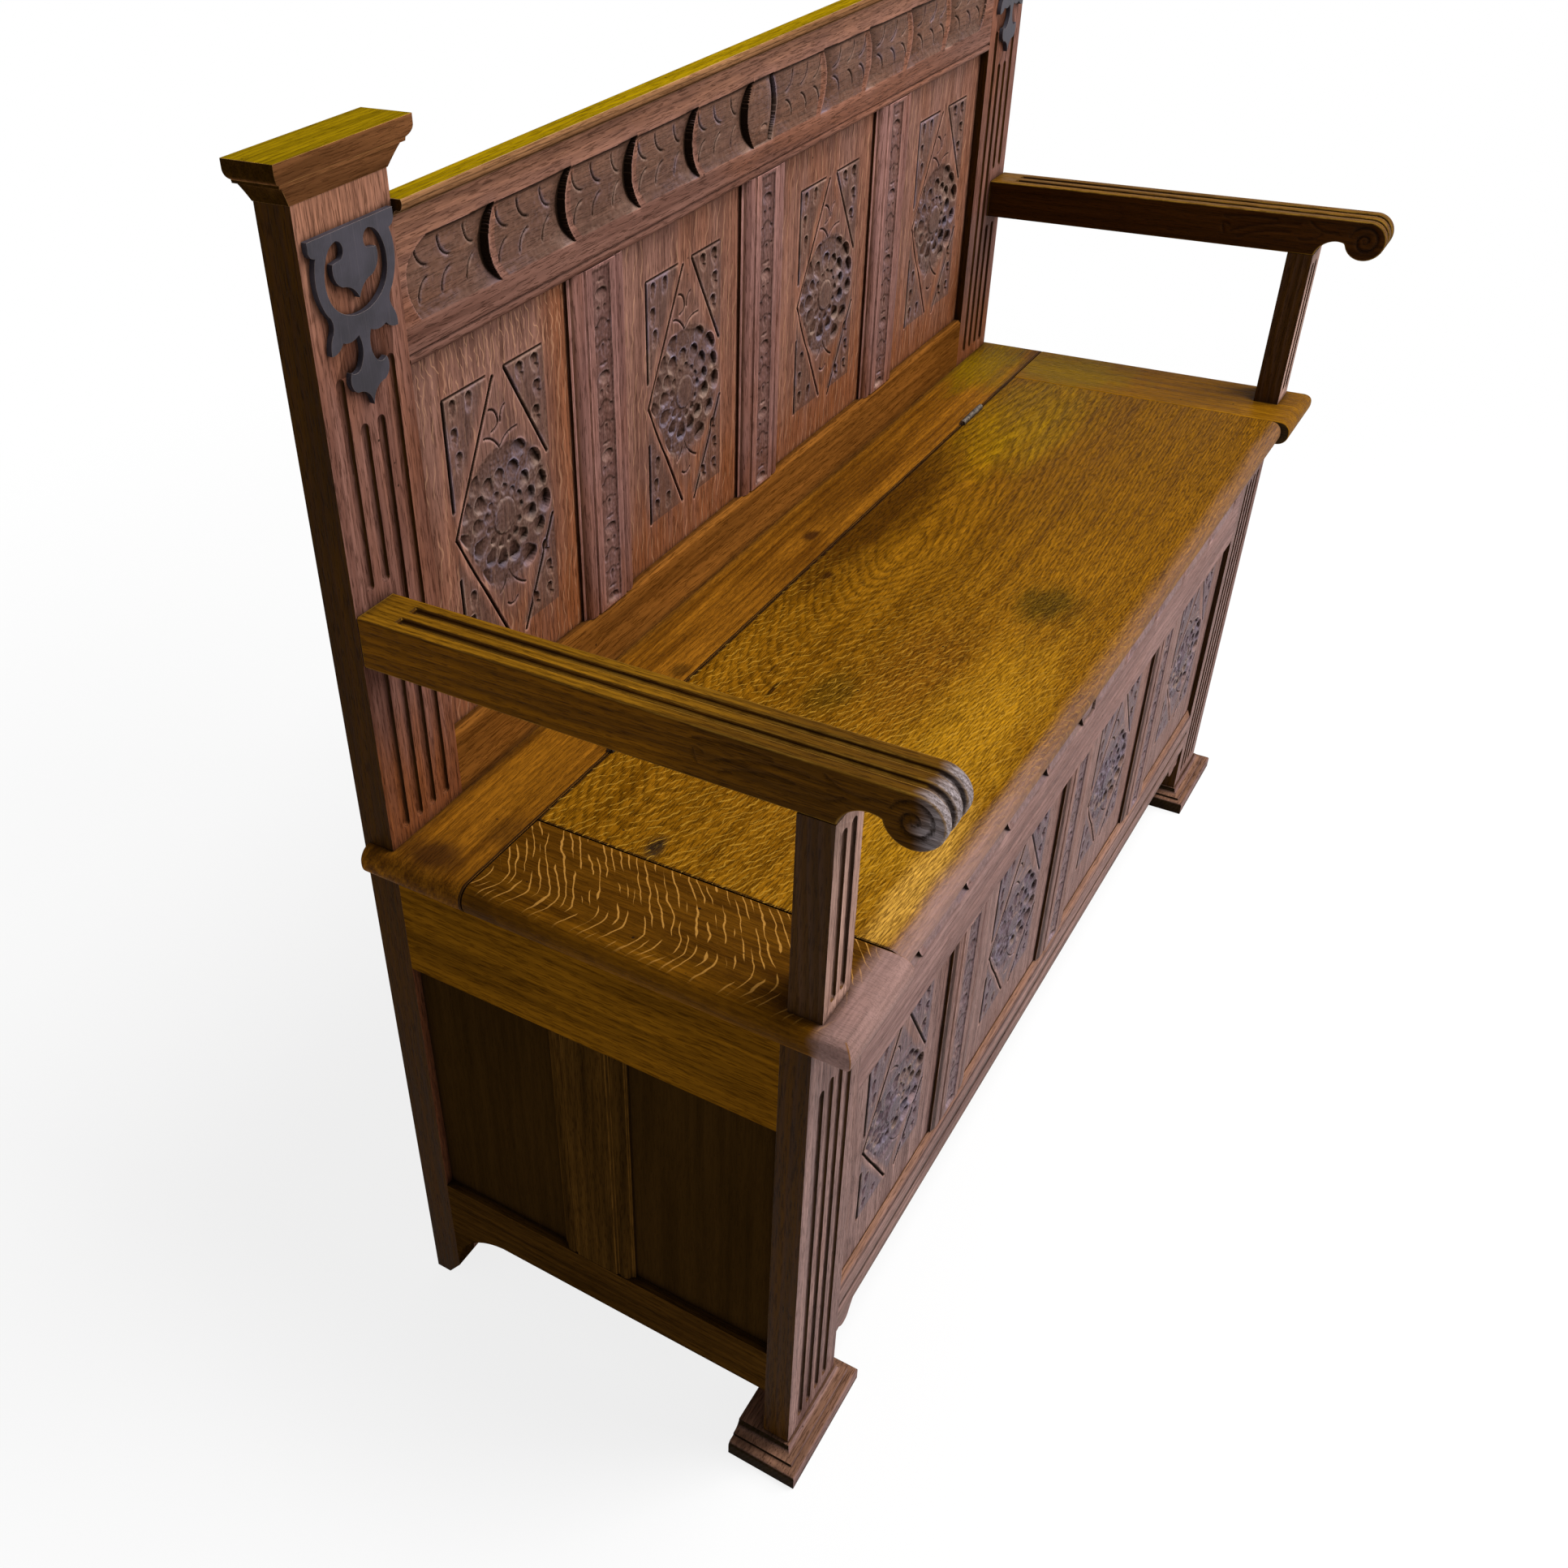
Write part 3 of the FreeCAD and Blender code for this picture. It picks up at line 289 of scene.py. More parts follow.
def raw_board(axis, light, dark, rings):
    """Bare oak, with the coordinates and noises that the next steps share."""
    s = Shader(bpy.data.materials.new("oak"))
    s.light, s.dark = light, dark = tone(*light), tone(*dark)
    s.place = s.place_in_object()
    s.spot = s.split(s.place)
    along, across, deep = (s.spot[i] for i in GRAIN[axis])
    shift = s.times(s.add("ObjectInfo", {}, output=5), 11)
    s.grain = s.join(s.plus(along, shift), s.plus(across, shift), s.plus(deep, shift))
    sway = s.wander(s.stretched(s.grain, 3, 9), 0.02)
    if rings:
        ripple = s.grained((60, 420), 2)
        ring = s.plus(rings(s, along, across, sway), s.times(ripple, 0.7))
    else:
        ring = s.times(s.plus(s.plus(across, s.times(deep, 0.6)), sway), 210)
        ring = s.plus(ring, s.times(shift, 3))
    ring = s.plus(ring, s.times(s.grained((9, 60), 3), 1.1))
    band = s.math("FRACT", ring)
    s.band = s.times(s.smooth(band, 0.3, 0.85), s.smooth(band, 1, 0.9))
    s.fibre = s.grained((34, 760), 4, 0.65)
    s.coarse = s.grained((5, 130), 3, 0.55)
    cloud = s.noise(s.grain, 7, 3, 0.6)
    s.colour = s.mix(s.smooth(s.coarse, 0.18, 0.8), dark, light)
    s.lay(s.smooth(cloud, 0.35, 0.78, 0, 0.4), dark)
    return s


def margins(s, start, pitch, tint):
    """Warmer right margins on a row of panels, the left ones most."""
    share = s.math("FRACT", s.times(s.minus(s.spot[0], start), 1 / pitch))
    share = s.plus(share, s.wander(s.stretched(s.grain, 6, 20), 0.12))
    strength = s.smooth(s.spot[0], -0.05, -0.33, 0.3, 0.7)
    s.lay(s.times(s.smooth(share, 0.79, 0.95), strength), s.mottled(s.coarse, 0.25, 0.75, tint, 0.55))


def blotches(s, tint, strength):
    blotch = s.grained((3.2, 13), 3, 0.6)
    s.lay(s.smooth(blotch, 0.44, 0.62, 0, strength), s.mottled(s.coarse, 0.28, 0.74, tint, 0.6))


def facing(s, way, low, high, tint, darker):
    """Tints the faces that look one way."""
    s.lay(s.smooth(way, low, high), s.mottled(s.coarse, 0.3, 0.7, tint, darker))


def patch(s, centre_x, centre_y, reach_x, reach_y, tint, strength):
    """A ragged oval patch, seen from above."""
    off = s.add("Mapping", {"Vector": s.place, "Location": (-centre_x / reach_x, -centre_y / reach_y, 0),
                            "Scale": (1 / reach_x, 1 / reach_y, 0)})
    reach = s.add("VectorMath", {0: off}, output=1, operation="LENGTH")
    reach = s.plus(reach, s.wander(s.stretched(s.place, 22, 60), 1.1, 4, 0.65))
    s.lay(s.smooth(reach, 1.1, 0.3, 0, strength), s.mottled(s.coarse, 0.3, 0.7, tint, 0.8))


def fade(s, number, start, stop, tint, strength):
    """A ragged change of colour along x, y or z (0, 1 or 2), complete from stop on."""
    ragged = s.wander(s.stretched(s.grain, 16, 90), (stop - start) * 1.2, 3)
    s.lay(s.smooth(s.plus(s.spot[number], ragged), start, stop, 0, strength),
          s.mottled(s.fibre, 0.3, 0.7, tint, 0.62))


def line(s, number, centre, half, strength):
    """A dark line across x, y or z: a joint, or the shadow under an edge."""
    off = s.math("ABSOLUTE", s.minus(s.spot[number], centre))
    s.lay(s.smooth(off, half * 1.3, half * 0.5, 0, strength), dirt_and_shade)


def fibres(s, streak):
    """The rings' bands, and paler and darker fibres."""
    s.lay(s.times(s.band, streak), s.mix(0.62, s.colour, shade(s.dark, 0.35)))
    s.lifted = s.mix(1, s.colour, lift, blend="MULTIPLY")
    s.sunken = s.mix(1, s.colour, sink, blend="MULTIPLY")
    s.lay(s.smooth(s.fibre, 0.54, 0.74, 0, streak), s.lifted)
    s.lay(s.smooth(s.fibre, 0.45, 0.27, 0, streak * 1.6), s.sunken)
    s.height = s.plus(s.times(s.fibre, 0.6), s.times(s.band, -0.2))


def pores_of(s, scale, low, high, strength, height):
    """Dark pores along the grain, sunk into the surface."""
    pore = s.smooth(s.grained(scale, 2, 0.55), low, high)
    s.lay(s.times(pore, strength), s.sunken)
    s.height = s.plus(s.height, s.times(pore, height))


def lay_flecks(s, course, pitch, length, thickness, strength, pale, limits):
    """Wavy streaks of the rays: broken lines a pitch apart along a course, within limits."""
    along, across = course(s)
    place = s.join(s.times(along, 0.5 / length), s.times(across, 0.22 / pitch), 0)
    kinks = s.noise(s.join(s.times(along, 90), s.times(across, 40), 0), 1, 1)
    bends = s.plus(s.times(s.noise(place, 1, 2, 0.6), 2.4), s.times(kinks, 0.5))
    line = s.plus(s.times(across, 1 / pitch), bends)
    row = s.math("FLOOR", line)
    middle = s.math("ABSOLUTE", s.minus(s.math("FRACT", line), 0.5))
    breaks = s.noise(s.join(s.times(along, 1 / length), s.times(row, 7.31), 0), 1, 1)
    width = s.smooth(breaks, 0.37, 0.54, -0.04, thickness / pitch / 2)
    streaks = s.times(s.smooth(s.minus(width, middle), -0.025, 0.03), strength)
    for number, start, stop in limits:
        streaks = s.times(streaks, s.smooth(s.spot[number], start, stop))
    s.lay(streaks, tone(*pale))


def nose_sheen(s, far, near, tint, left, right):
    """A painted pink sheen along a front edge, with a strength for its left and right."""
    edge = s.plus(s.spot[1], s.wander(s.stretched(s.place, 12, 70), 0.012, 3))
    sheen_mottle = s.noise(s.stretched(s.place, 26, 420), 1, 3, 0.6)
    s.lay(s.times(s.smooth(edge, far, near), s.smooth(s.spot[0], -0.12, -0.42, right, left)),
          s.mottled(sheen_mottle, 0.3, 0.7, tint, 0.72))


def specks(s):
    """Small holes full of dirt."""
    bite = s.add("TexVoronoi", {"Vector": s.place, "Scale": 85}).node.outputs
    chosen = s.math("LESS_THAN", s.split(bite[1])[0], speck_share)
    s.lay(s.times(s.times(s.smooth(bite[0], 0.11, 0.06), chosen), 0.9), dirt_and_shade)


def wear_and_painted_light(s, matt, worn_and_lit):
    """Matt grounds, painted shade in corners and hollows, and rubbed edges, with painted highlights on carved walls
    that look up.
    """
    # The pale tint goes on rubbed edges and on the painted highlights of walls that look up.
    pale = tone(*worn_and_lit) if worn_and_lit else shade(s.light, 1.6)
    if matt:
        mask = s.field("matt")
        mottle = s.noise(s.place, 190, 3, 0.65)
        s.lay(s.times(mask, matt[1]), s.mottled(mottle, 0.36, 0.66, matt[0], 0.55))
        # On carved grounds the pale turns to a patchy purple-grey: painted sheen.
        patchy = s.smooth(s.noise(s.place, 26, 2), 0.42, 0.58)
        pale = s.mix(mask, pale, s.mix(patchy, dull_ridge_wear_and_sheen, ridge_wear_and_sheen))
    # Ambient occlusion darkens corners, creases and gaps between parts: painted shade.
    nearby = s.add("AmbientOcclusion", {"Distance": 0.014}, output=1, samples=6)
    s.lay(s.smooth(nearby, 0.85, 0.35, 0, occlusion_shade), dirt_and_shade)
    # Concave edges, hollows, walls that look down and blackened cuts get painted shade.
    s.lay(s.math("MULTIPLY", s.field("painted_shade"), 0.97, clamp=True), dirt_and_shade)
    # Rubbed edges and ridges, and the painted highlights on carved walls that look up.
    wear_and_glint = s.times(s.field("wear_and_highlight"), s.smooth(s.noise(s.place, 45, 4, 0.6), 0.36, 0.62, 0.3, 0.9))
    s.lay(s.math("MULTIPLY", wear_and_glint, 1, clamp=True), pale)


def wood(axis, light, dark, rings=None, warm=None, margin=None, top=None, side=None, patches=(), fades=(), lines=(),
         streak=0.4, pores=0, dashes=0, flecks=(), nose=None, matt=None, worn_and_lit=None, rough=0.5, gloss=0.02):
    """Old oak with its grain along an axis, from the raw board to the dirt, wear and painted light and shade on top.

    warm and matt are the colours and shares of blotches and of carved grounds; top and side, the painted top light
    and painted side shade of faces that look up and to the bench's ends; rubbed, that of worn edges and painted
    highlights.
    """
    s = raw_board(axis, light, dark, rings)
    if margin:
        margins(s, *margin)
    if warm:
        blotches(s, *warm)
    normal = s.split(s.add("NewGeometry", {}, output=1))
    # Faces that look up get painted top light.
    if top:
        facing(s, normal[2], 0.55, 0.9, top, 0.66)
    for step, rows in ((patch, patches), (fade, fades), (line, lines)):
        for row in rows:
            step(s, *row)
    # Faces that look to the bench's ends get painted side shade; those that look to the wall a darker rear tint.
    if side:
        facing(s, normal[1], 0.6, 0.9, rear_tint, 0.55)
        facing(s, s.math("ABSOLUTE", normal[0]), 0.5, 0.85, side, 0.6)
    fibres(s, streak)
    if pores:
        pores_of(s, (75, 1000), 0.54, 0.63, pores, -0.8)
    if dashes:
        pores_of(s, (95, 900), 0.51, 0.6, dashes, -1)
        s.lay(s.smooth(s.grained((110, 700, 200), 1), 0.58, 0.7, 0, dashes * 0.7), s.lifted)
    for row in flecks:
        lay_flecks(s, *row)
    if nose:
        nose_sheen(s, *nose)
    specks(s)
    wear_and_painted_light(s, matt, worn_and_lit)
    roughness = s.plus(s.span(s.coarse, 0.3, 0.7, rough - 0.05, rough + 0.08), s.times(s.field("painted_shade"), 0.25))
    if matt:
        roughness = s.minus(roughness, s.times(s.field("matt"), 0.16))
    return s.finish(s.surface(s.colour, roughness, (0.6, 0.0006, s.height), gloss))


def plain_metal(colour, rough):
    """Old hinge steel: dark, with rubbed spots."""
    s = Shader(bpy.data.materials.new("metal"))
    spots = s.noise(s.place_in_object(), 260, 4, 0.6)
    tint = s.mottled(spots, 0.4, 0.6, colour, 0.3)
    roughness = s.span(spots, 0.3, 0.7, rough, rough + 0.25)
    return s.finish(s.surface(tint, roughness, (0.2, 0.0004, spots), metal=0.9))


def black_wood():
    """Ebonised wood, worn grey at its edges."""
    s = Shader(bpy.data.materials.new("ebonised"))
    place = s.place_in_object()
    fibre = s.noise(s.stretched(place, 600, 600, 18), 1, 4, 0.6)
    patch = s.noise(place, 40, 4, 0.6)
    colour = s.mix(s.smooth(patch, 0.3, 0.7), tone(38, 35, 41), tone(56, 52, 60))
    colour = s.mix(s.smooth(fibre, 0.54, 0.75, 0, 0.2), colour, tone(104, 92, 94))
    colour = s.mix(s.math("MULTIPLY", s.field("wear_and_highlight"), 0.55, clamp=True), colour, tone(150, 132, 122))
    return s.finish(s.surface(colour, s.span(patch, 0.3, 0.7, 0.45, 0.65), (0.3, 0.0004, fibre), 0.25))


# Tints of the woods. They follow how each part faces the light: the seat's gold is partly painted top light,
# the side frame's dark woods partly painted shade, and the front's pink-grey partly painted window sheen.
gold_light, gold_dark = (144, 96, 14), (100, 62, 3)
rose_light, rose_dark = (154, 122, 114), (98, 70, 65)
orange = (136, 76, 34)
# Dark tint of faces that look to the bench's ends: painted side shade.
end_face_shade = (70, 42, 5)
olive = (134, 108, 6)
yellow = (164, 126, 4)
# Pink-grey of the painted sheen on the seat's front edges
pink_nose_sheen = (151, 119, 112)
stain = (70, 52, 6)

# Patches: centre, reach, tint and strength
lid_patches = ((0.37, 0.065, 0.17, 0.075, yellow, 0.85), (0.1, 0.108, 0.24, 0.044, (64, 34, 4), 0.85),
    (-0.14, -0.04, 0.11, 0.045, (106, 62, 10), 0.5), (0, -0.092, 0.044, 0.034, stain, 0.85),
    (-0.453, 0.026, 0.016, 0.009, (46, 34, 22), 0.95), (-0.215, 0.008, 0.045, 0.024, stain, 0.6),
    (-0.229, 0.05, 0.018, 0.0026, (40, 20, 4), 0.95), (-0.203, 0.065, 0.014, 0.0016, (48, 24, 6), 0.8),
    (-0.04, 0.095, 0.011, 0.007, (50, 24, 6), 0.85), (-0.27, -0.11, 0.25, 0.055, (176, 126, 22), 0.75),
    (-0.4, -0.148, 0.12, 0.016, (206, 156, 66), 0.8))
rear_patches = ((-0.538, 0.158, 0.022, 0.03, (58, 32, 12), 0.85), (-0.49, 0.128, 0.03, 0.02, (84, 50, 12), 0.7),
    (-0.242, 0.13, 0.014, 0.01, (62, 38, 8), 0.7), (0.022, 0.143, 0.013, 0.008, (48, 24, 8), 0.9),
    (0.14, 0.16, 0.16, 0.03, (74, 40, 6), 0.6), (0.49, 0.16, 0.11, 0.05, (122, 94, 3), 0.85),
    (-0.42, 0.15, 0.1, 0.03, (136, 86, 16), 0.6))

# Flecks: course, pitch, length, thickness, strength, tint, and limits along x, y or z
lid_flecks = ((slanting(0, 1, -28), 0.0068, 0.01, 0.0011, 0.5, (184, 138, 46),
     ((0, 0.1, -0.2), (1, -0.156, -0.14), (2, 0.48, 0.49))),
    (slanting(0, 1, -24), 0.0042, 0.005, 0.0007, 0.3, (180, 134, 44),
     ((0, 0.3, -0.1), (1, 0.07, -0.02), (2, 0.48, 0.49))))
end_flecks = ((bent_rays, 0.007, 0.026, 0.0012, 0.75, (178, 128, 58), ((0, -0.559, -0.551), (1, -0.163, -0.15))),)
panel_flecks = ((slanting(0, 2, 84), 0.009, 0.022, 0.0014, 0.25, (196, 150, 116), ()),
    (slanting(0, 2, 98), 0.006, 0.009, 0.0009, 0.4, (200, 152, 118), ((0, -0.25, -0.31), (2, 0.775, 0.8))))
# Painted shadow along the left side of each front muntin, where the panel meets it.
muntin_shadow_lines = tuple((0, middle - 0.0335, 0.0036, 0.75) for middle in (-0.25225, 0, 0.25225))

woods = {
    "lid": wood("x", gold_light, gold_dark, dashes=0.8, rings=crown_rings, streak=0.75, patches=lid_patches,
        flecks=lid_flecks, nose=(-0.153, -0.168, pink_nose_sheen, 0.85, 0.25), gloss=0.012,
        fades=((0, 0.1, 0.42, (118, 78, 12), 0.5), (2, 0.484, 0.478, (116, 76, 30), 0.9)),
        lines=((1, 0.1166, 0.0013, 0.9), (0, -0.4664, 0.0011, 0.85))),
    "rear": wood("x", (148, 94, 20), (78, 43, 5), dashes=0.5, patches=rear_patches, gloss=0.015,
        lines=((1, 0.1187, 0.0011, 0.9),)),
    "end": wood("y", (100, 62, 8), (64, 36, 3), dashes=0.35, gloss=0.015, nose=(-0.146, -0.16, pink_nose_sheen, 0.9, 0.9),
        flecks=end_flecks, patches=((-0.556, -0.04, 0.016, 0.16, (124, 78, 10), 0.8),)),
    "end_plain": wood("y", (138, 92, 10), (92, 56, 4), dashes=0.45, side=(60, 46, 24),
        patches=((0.51, 0.07, 0.06, 0.09, (120, 94, 3), 0.7),)),
    "arm": wood("y", (132, 82, 6), (88, 52, 3), top=(124, 84, 14), streak=0.7,
        # The last fade is a pale grey painted highlight on the front of the scroll.
        fades=((1, 0, -0.13, (76, 47, 6), 0.75), (1, -0.194, -0.208, (155, 144, 146), 0.9)), worn_and_lit=(134, 98, 34),
        pores=0.7),
    "arm_far": wood("y", (112, 72, 10), (64, 37, 2), top=(112, 74, 10), side=(60, 32, 5), streak=0.6,
        worn_and_lit=(140, 104, 36), gloss=0.03, pores=0.6),
    "arm_post": wood("z", (190, 152, 136), (132, 98, 86), top=(120, 80, 40), side=(68, 42, 12), pores=0.6,
        gloss=0.04),
    "crest": wood("x", (168, 122, 84), (116, 80, 52), top=(150, 122, 4), side=end_face_shade, gloss=0, pores=0.6,
        # The dark line at 0.919 is a painted shadow under the crest's moulding.
        worn_and_lit=(160, 128, 96), lines=((2, 0.919, 0.0018, 0.8), (2, 0.9238, 0.0005, 0.5))),
    "cap": wood("x", (134, 88, 54), (84, 52, 28), top=olive, side=(60, 38, 8), worn_and_lit=(166, 122, 72), gloss=0,
        pores=0.5),
    "stile": wood("z", (136, 96, 84), (92, 58, 48), warm=(orange, 0.35), side=end_face_shade, matt=((86, 62, 50), 0.7),
        pores=0.8, fades=((2, 0.62, 0.52, orange, 0.7), (2, 0.84, 0.94, (176, 124, 98), 0.6))),
    "top_rail": wood("x", (126, 90, 78), (84, 54, 44), warm=(orange, 0.3), side=end_face_shade, matt=((86, 64, 52), 0.7),
        pores=0.8, fades=((2, 0.85, 0.94, (176, 124, 96), 0.6),)),
    "seat_rail": wood("x", (138, 86, 32), (92, 54, 18), side=end_face_shade, pores=0.7, gloss=0),
    "panel": wood("z", (146, 106, 92), (98, 66, 56), warm=(orange, 0.35), margin=(-0.533, 0.25225, (150, 88, 50)),
        side=end_face_shade, matt=((82, 62, 56), 0.75), fades=((2, 0.66, 0.56, orange, 0.65),), pores=0.8,
        flecks=panel_flecks),
    "muntin": wood("z", (152, 112, 104), (98, 66, 60), warm=(orange, 0.3), side=end_face_shade, matt=((78, 54, 48), 0.75),
        pores=0.8, fades=((2, 0.62, 0.52, orange, 0.6),)),
    "front_rail": wood("x", (156, 123, 116), (107, 77, 72), warm=((132, 98, 90), 0.5), pores=0.6, side=end_face_shade,
        matt=((150, 120, 116), 0.6)),
    "bottom": wood("x", (162, 128, 118), rose_dark, pores=0.7, top=(150, 104, 74), worn_and_lit=(186, 150, 134),
        # The dark line at 0.107 is painted shade in the rail's groove.
        lines=((2, 0.107, 0.0034, 0.75), (2, 0.1285, 0.001, 0.5)), fades=((2, 0.1275, 0.1345, (150, 104, 74), 0.65),
        (2, 0.096, 0.086, (112, 92, 84), 0.6))),
    "foot": wood("x", rose_light, rose_dark, top=(132, 96, 76), side=(38, 27, 10), pores=0.8, gloss=0.01),
    "side_rail": wood("y", (140, 91, 16), (88, 55, 9), worn_and_lit=(124, 88, 20), gloss=0, pores=0.7),
    "low_side": wood("y", (86, 56, 18), (54, 34, 10), gloss=0, pores=0.6),
    "side_post": wood("z", (84, 56, 20), (50, 32, 10), gloss=0, pores=0.6),
    "flank": wood("z", (58, 38, 13), (44, 28, 8), gloss=0, streak=0.1, pores=0.15),
    "steel": plain_metal((120, 108, 96), 0.35),
    "black": black_wood(),
}
for axis in "xz":
    # The front's rose woods: their pink-grey, and the mauve of their carved grounds, are partly painted window sheen.
    woods["rose_" + axis] = wood(axis, rose_light, rose_dark, lines=muntin_shadow_lines, warm=((140, 98, 82), 0.35),
        top=(124, 86, 58), side=end_face_shade, matt=((78, 65, 78), 0.75), pores=0.8, gloss=0.03)
for axis in "xy":
    woods["raw_" + axis] = wood(axis, (140, 106, 66), (98, 68, 38), rough=0.62, gloss=0.08)
for name, material in woods.items():
    material.name = "oak_" + name

# The woods of each record slot
SLOTS = {
    "oak_top": "lid rear end end_plain crest cap arm arm_far", "oak_back": "stile top_rail seat_rail panel muntin",
    "oak_front": "front_rail bottom rose_x rose_z foot arm_post", "oak_side": "side_rail low_side side_post flank",
    "oak_inner": "raw_x raw_y", "steel": "steel", "ebonised": "black",
}
# Each node's wood, by the first of these that its name holds
FINISHES = {
    "hinge": "steel", "screws": "steel", "ornament": "black", "cap": "cap", "foot": "foot", "arm_post": "arm_post",
    "lid_board": "lid", "lid_battens": "raw_y", "seat_rear": "rear", "left_seat_end": "end",
    "right_seat_end": "end_plain", "seat_cleat": "raw_x", "rear_lower": "raw_x", "floor": "raw_x",
    "right_arm": "arm_far", "left_arm": "arm", "side_top_rail": "side_rail", "side_bottom_rail": "low_side",
    "side_muntin": "side_post", "side_panels": "flank", "back_stile": "stile", "back_crest": "crest",
    "back_top": "top_rail", "back_seat": "seat_rail", "back_panel": "panel", "back_": "muntin",
    "front_top": "front_rail", "front_bottom": "bottom", "front_brackets": "rose_x", "front_": "rose_z",
}


def finish_of(name):
    """(wood, record slot) of a node."""
    timber = next(timber for part, timber in FINISHES.items() if part in name)
    return timber, next(slot for slot, timbers in SLOTS.items() if timber in timbers.split())


# Meshes
def unit(value):
    """A value held between 0 and 1."""
    return np.clip(value, 0, 1)


def rows_of(items, key, width, kind=float):
    """A property of all vertices or edges, a row for each."""
    values = np.empty(len(items) * width, kind)
    items.foreach_get(key, values)
    return values.reshape(-1, width)


def new_object(name, data):
    """An object in the scene."""
    thing = bpy.data.objects.new(name, data)
    bpy.context.scene.collection.objects.link(thing)
    return thing


def node_mesh(name):
    """A node's mesh with its triangles joined into flat faces."""
    bm = bmesh.new()
    bm.from_mesh(frame["nodes"][name].data)
    bmesh.ops.remove_doubles(bm, verts=bm.verts, dist=2e-6)
    bmesh.ops.dissolve_limit(bm, angle_limit=math.radians(0.6), verts=bm.verts, edges=bm.edges)
    mesh = bpy.data.meshes.new(name + "_wood")
    bm.to_mesh(mesh)
    bm.free()
    mesh.materials.clear()
    for part in ("faces", "worn edges"):
        mesh.materials.append(None)
    return mesh


def set_field(mesh, key, values):
    layer = mesh.attributes.get(key) or mesh.attributes.new(key, "FLOAT", "POINT")
    layer.data.foreach_set("value", np.asarray(values, np.float32))


def edge_wear_and_shade(mesh):
    """Marks each rounded edge: rubbed where it stands out, and given painted shade where it lies in a corner."""
    count = len(mesh.vertices)
    rounded = np.ones(count, bool)
    normal_sum = np.zeros((count, 3))
    near_sum = np.zeros((count, 3))
    near_count = np.zeros(count)
    place = rows_of(mesh.vertices, "co", 3)
    for face in mesh.polygons:
        corners = list(face.vertices)
        if face.material_index != 1:
            rounded[corners] = False
        normal_sum[corners] += np.array(face.normal)
    ends = rows_of(mesh.edges, "vertices", 2, int)
    for a, b in ((0, 1), (1, 0)):
        np.add.at(near_sum, ends[:, a], place[ends[:, b]])
        np.add.at(near_count, ends[:, a], 1)
    behind = ((near_sum / np.maximum(near_count, 1)[:, None] - place) * normal_sum).sum(axis=1)
    set_field(mesh, "wear_and_highlight", np.where(rounded & (behind < 0), 1.0, 0.0))
    set_field(mesh, "painted_shade", np.where(rounded & (behind > 0), 0.8, 0.0))
    mesh.polygons.foreach_set("material_index", np.zeros(len(mesh.polygons), np.int32))


def eased(name, width_mm, limit_deg=worn_deg):
    """The mesh of a node with its sharp edges worn round."""
    source = node_mesh(name)
    source.shade_smooth()
    source.set_sharp_from_angle(angle=math.radians(crease_deg))
    piece = new_object(name + "_eased", source)
    bevel = piece.modifiers.new("ease", "BEVEL")
    bevel.width = width_mm * MM
    bevel.segments = 2
    bevel.limit_method = "ANGLE"
    bevel.angle_limit = math.radians(limit_deg)
    bevel.material = 1
    bevel.harden_normals = True
    graph = bpy.context.evaluated_depsgraph_get()
    mesh = bpy.data.meshes.new_from_object(piece.evaluated_get(graph))
    bpy.data.objects.remove(piece)
    bpy.data.meshes.remove(source)
    edge_wear_and_shade(mesh)
    return mesh


def grid_lines(low, high, start, stop, cell):
    """Grid lines, one cell apart between start and stop and wide elsewhere."""
    start, stop = max(start, low), min(stop, high)
    lines = [np.linspace(start, stop, max(2, round((stop - start) / cell) + 1))]
    if start > low:
        lines.insert(0, np.linspace(low, start, 6)[:-1])
    if stop < high:
        lines.append(np.linspace(stop, high, 6)[1:])
    return np.concatenate(lines)


def blurred(field, reach):
    """A field smoothed with a bell curve of the given reach in cells."""
    half = int(reach * 2.5) + 1
    bell = np.exp(-0.5 * (np.arange(-half, half + 1) / reach) ** 2)
    bell /= bell.sum()
    for axis in (0, 1):
        padded = np.pad(field, [(half, half) if a == axis else (0, 0) for a in (0, 1)], mode="edge")
        field = np.apply_along_axis(lambda line: np.convolve(line, bell, mode="valid"), axis, padded)
    return field


def shade_wear_and_highlight(depth, us, vs, cell):
    """Where a carved face gets painted shade, and where it is rubbed pale and given painted highlights, from 0 to 1.

    Hollows and walls that look down get painted shade; ridges are rubbed pale, and walls that look up to the window
    get a painted highlight.
    """
    near = depth - blurred(depth, 1.0 / cell)
    wide = depth - blurred(depth, 5.0 / cell)
    slope_u, slope_v = np.gradient(depth, us, vs)
    faces_light = 0.45 * slope_u + 0.9 * slope_v
    shaded = np.maximum(near * 1.5 + wide * 0.12 - 0.1, -faces_light * 1.2 - 0.12)
    worn_and_lit = np.maximum(-near * 1.6 - wide * 0.1, faces_light * 1.1 - 0.1)
    return np.clip(shaded, 0, 0.88), np.clip(worn_and_lit, 0, 0.8)


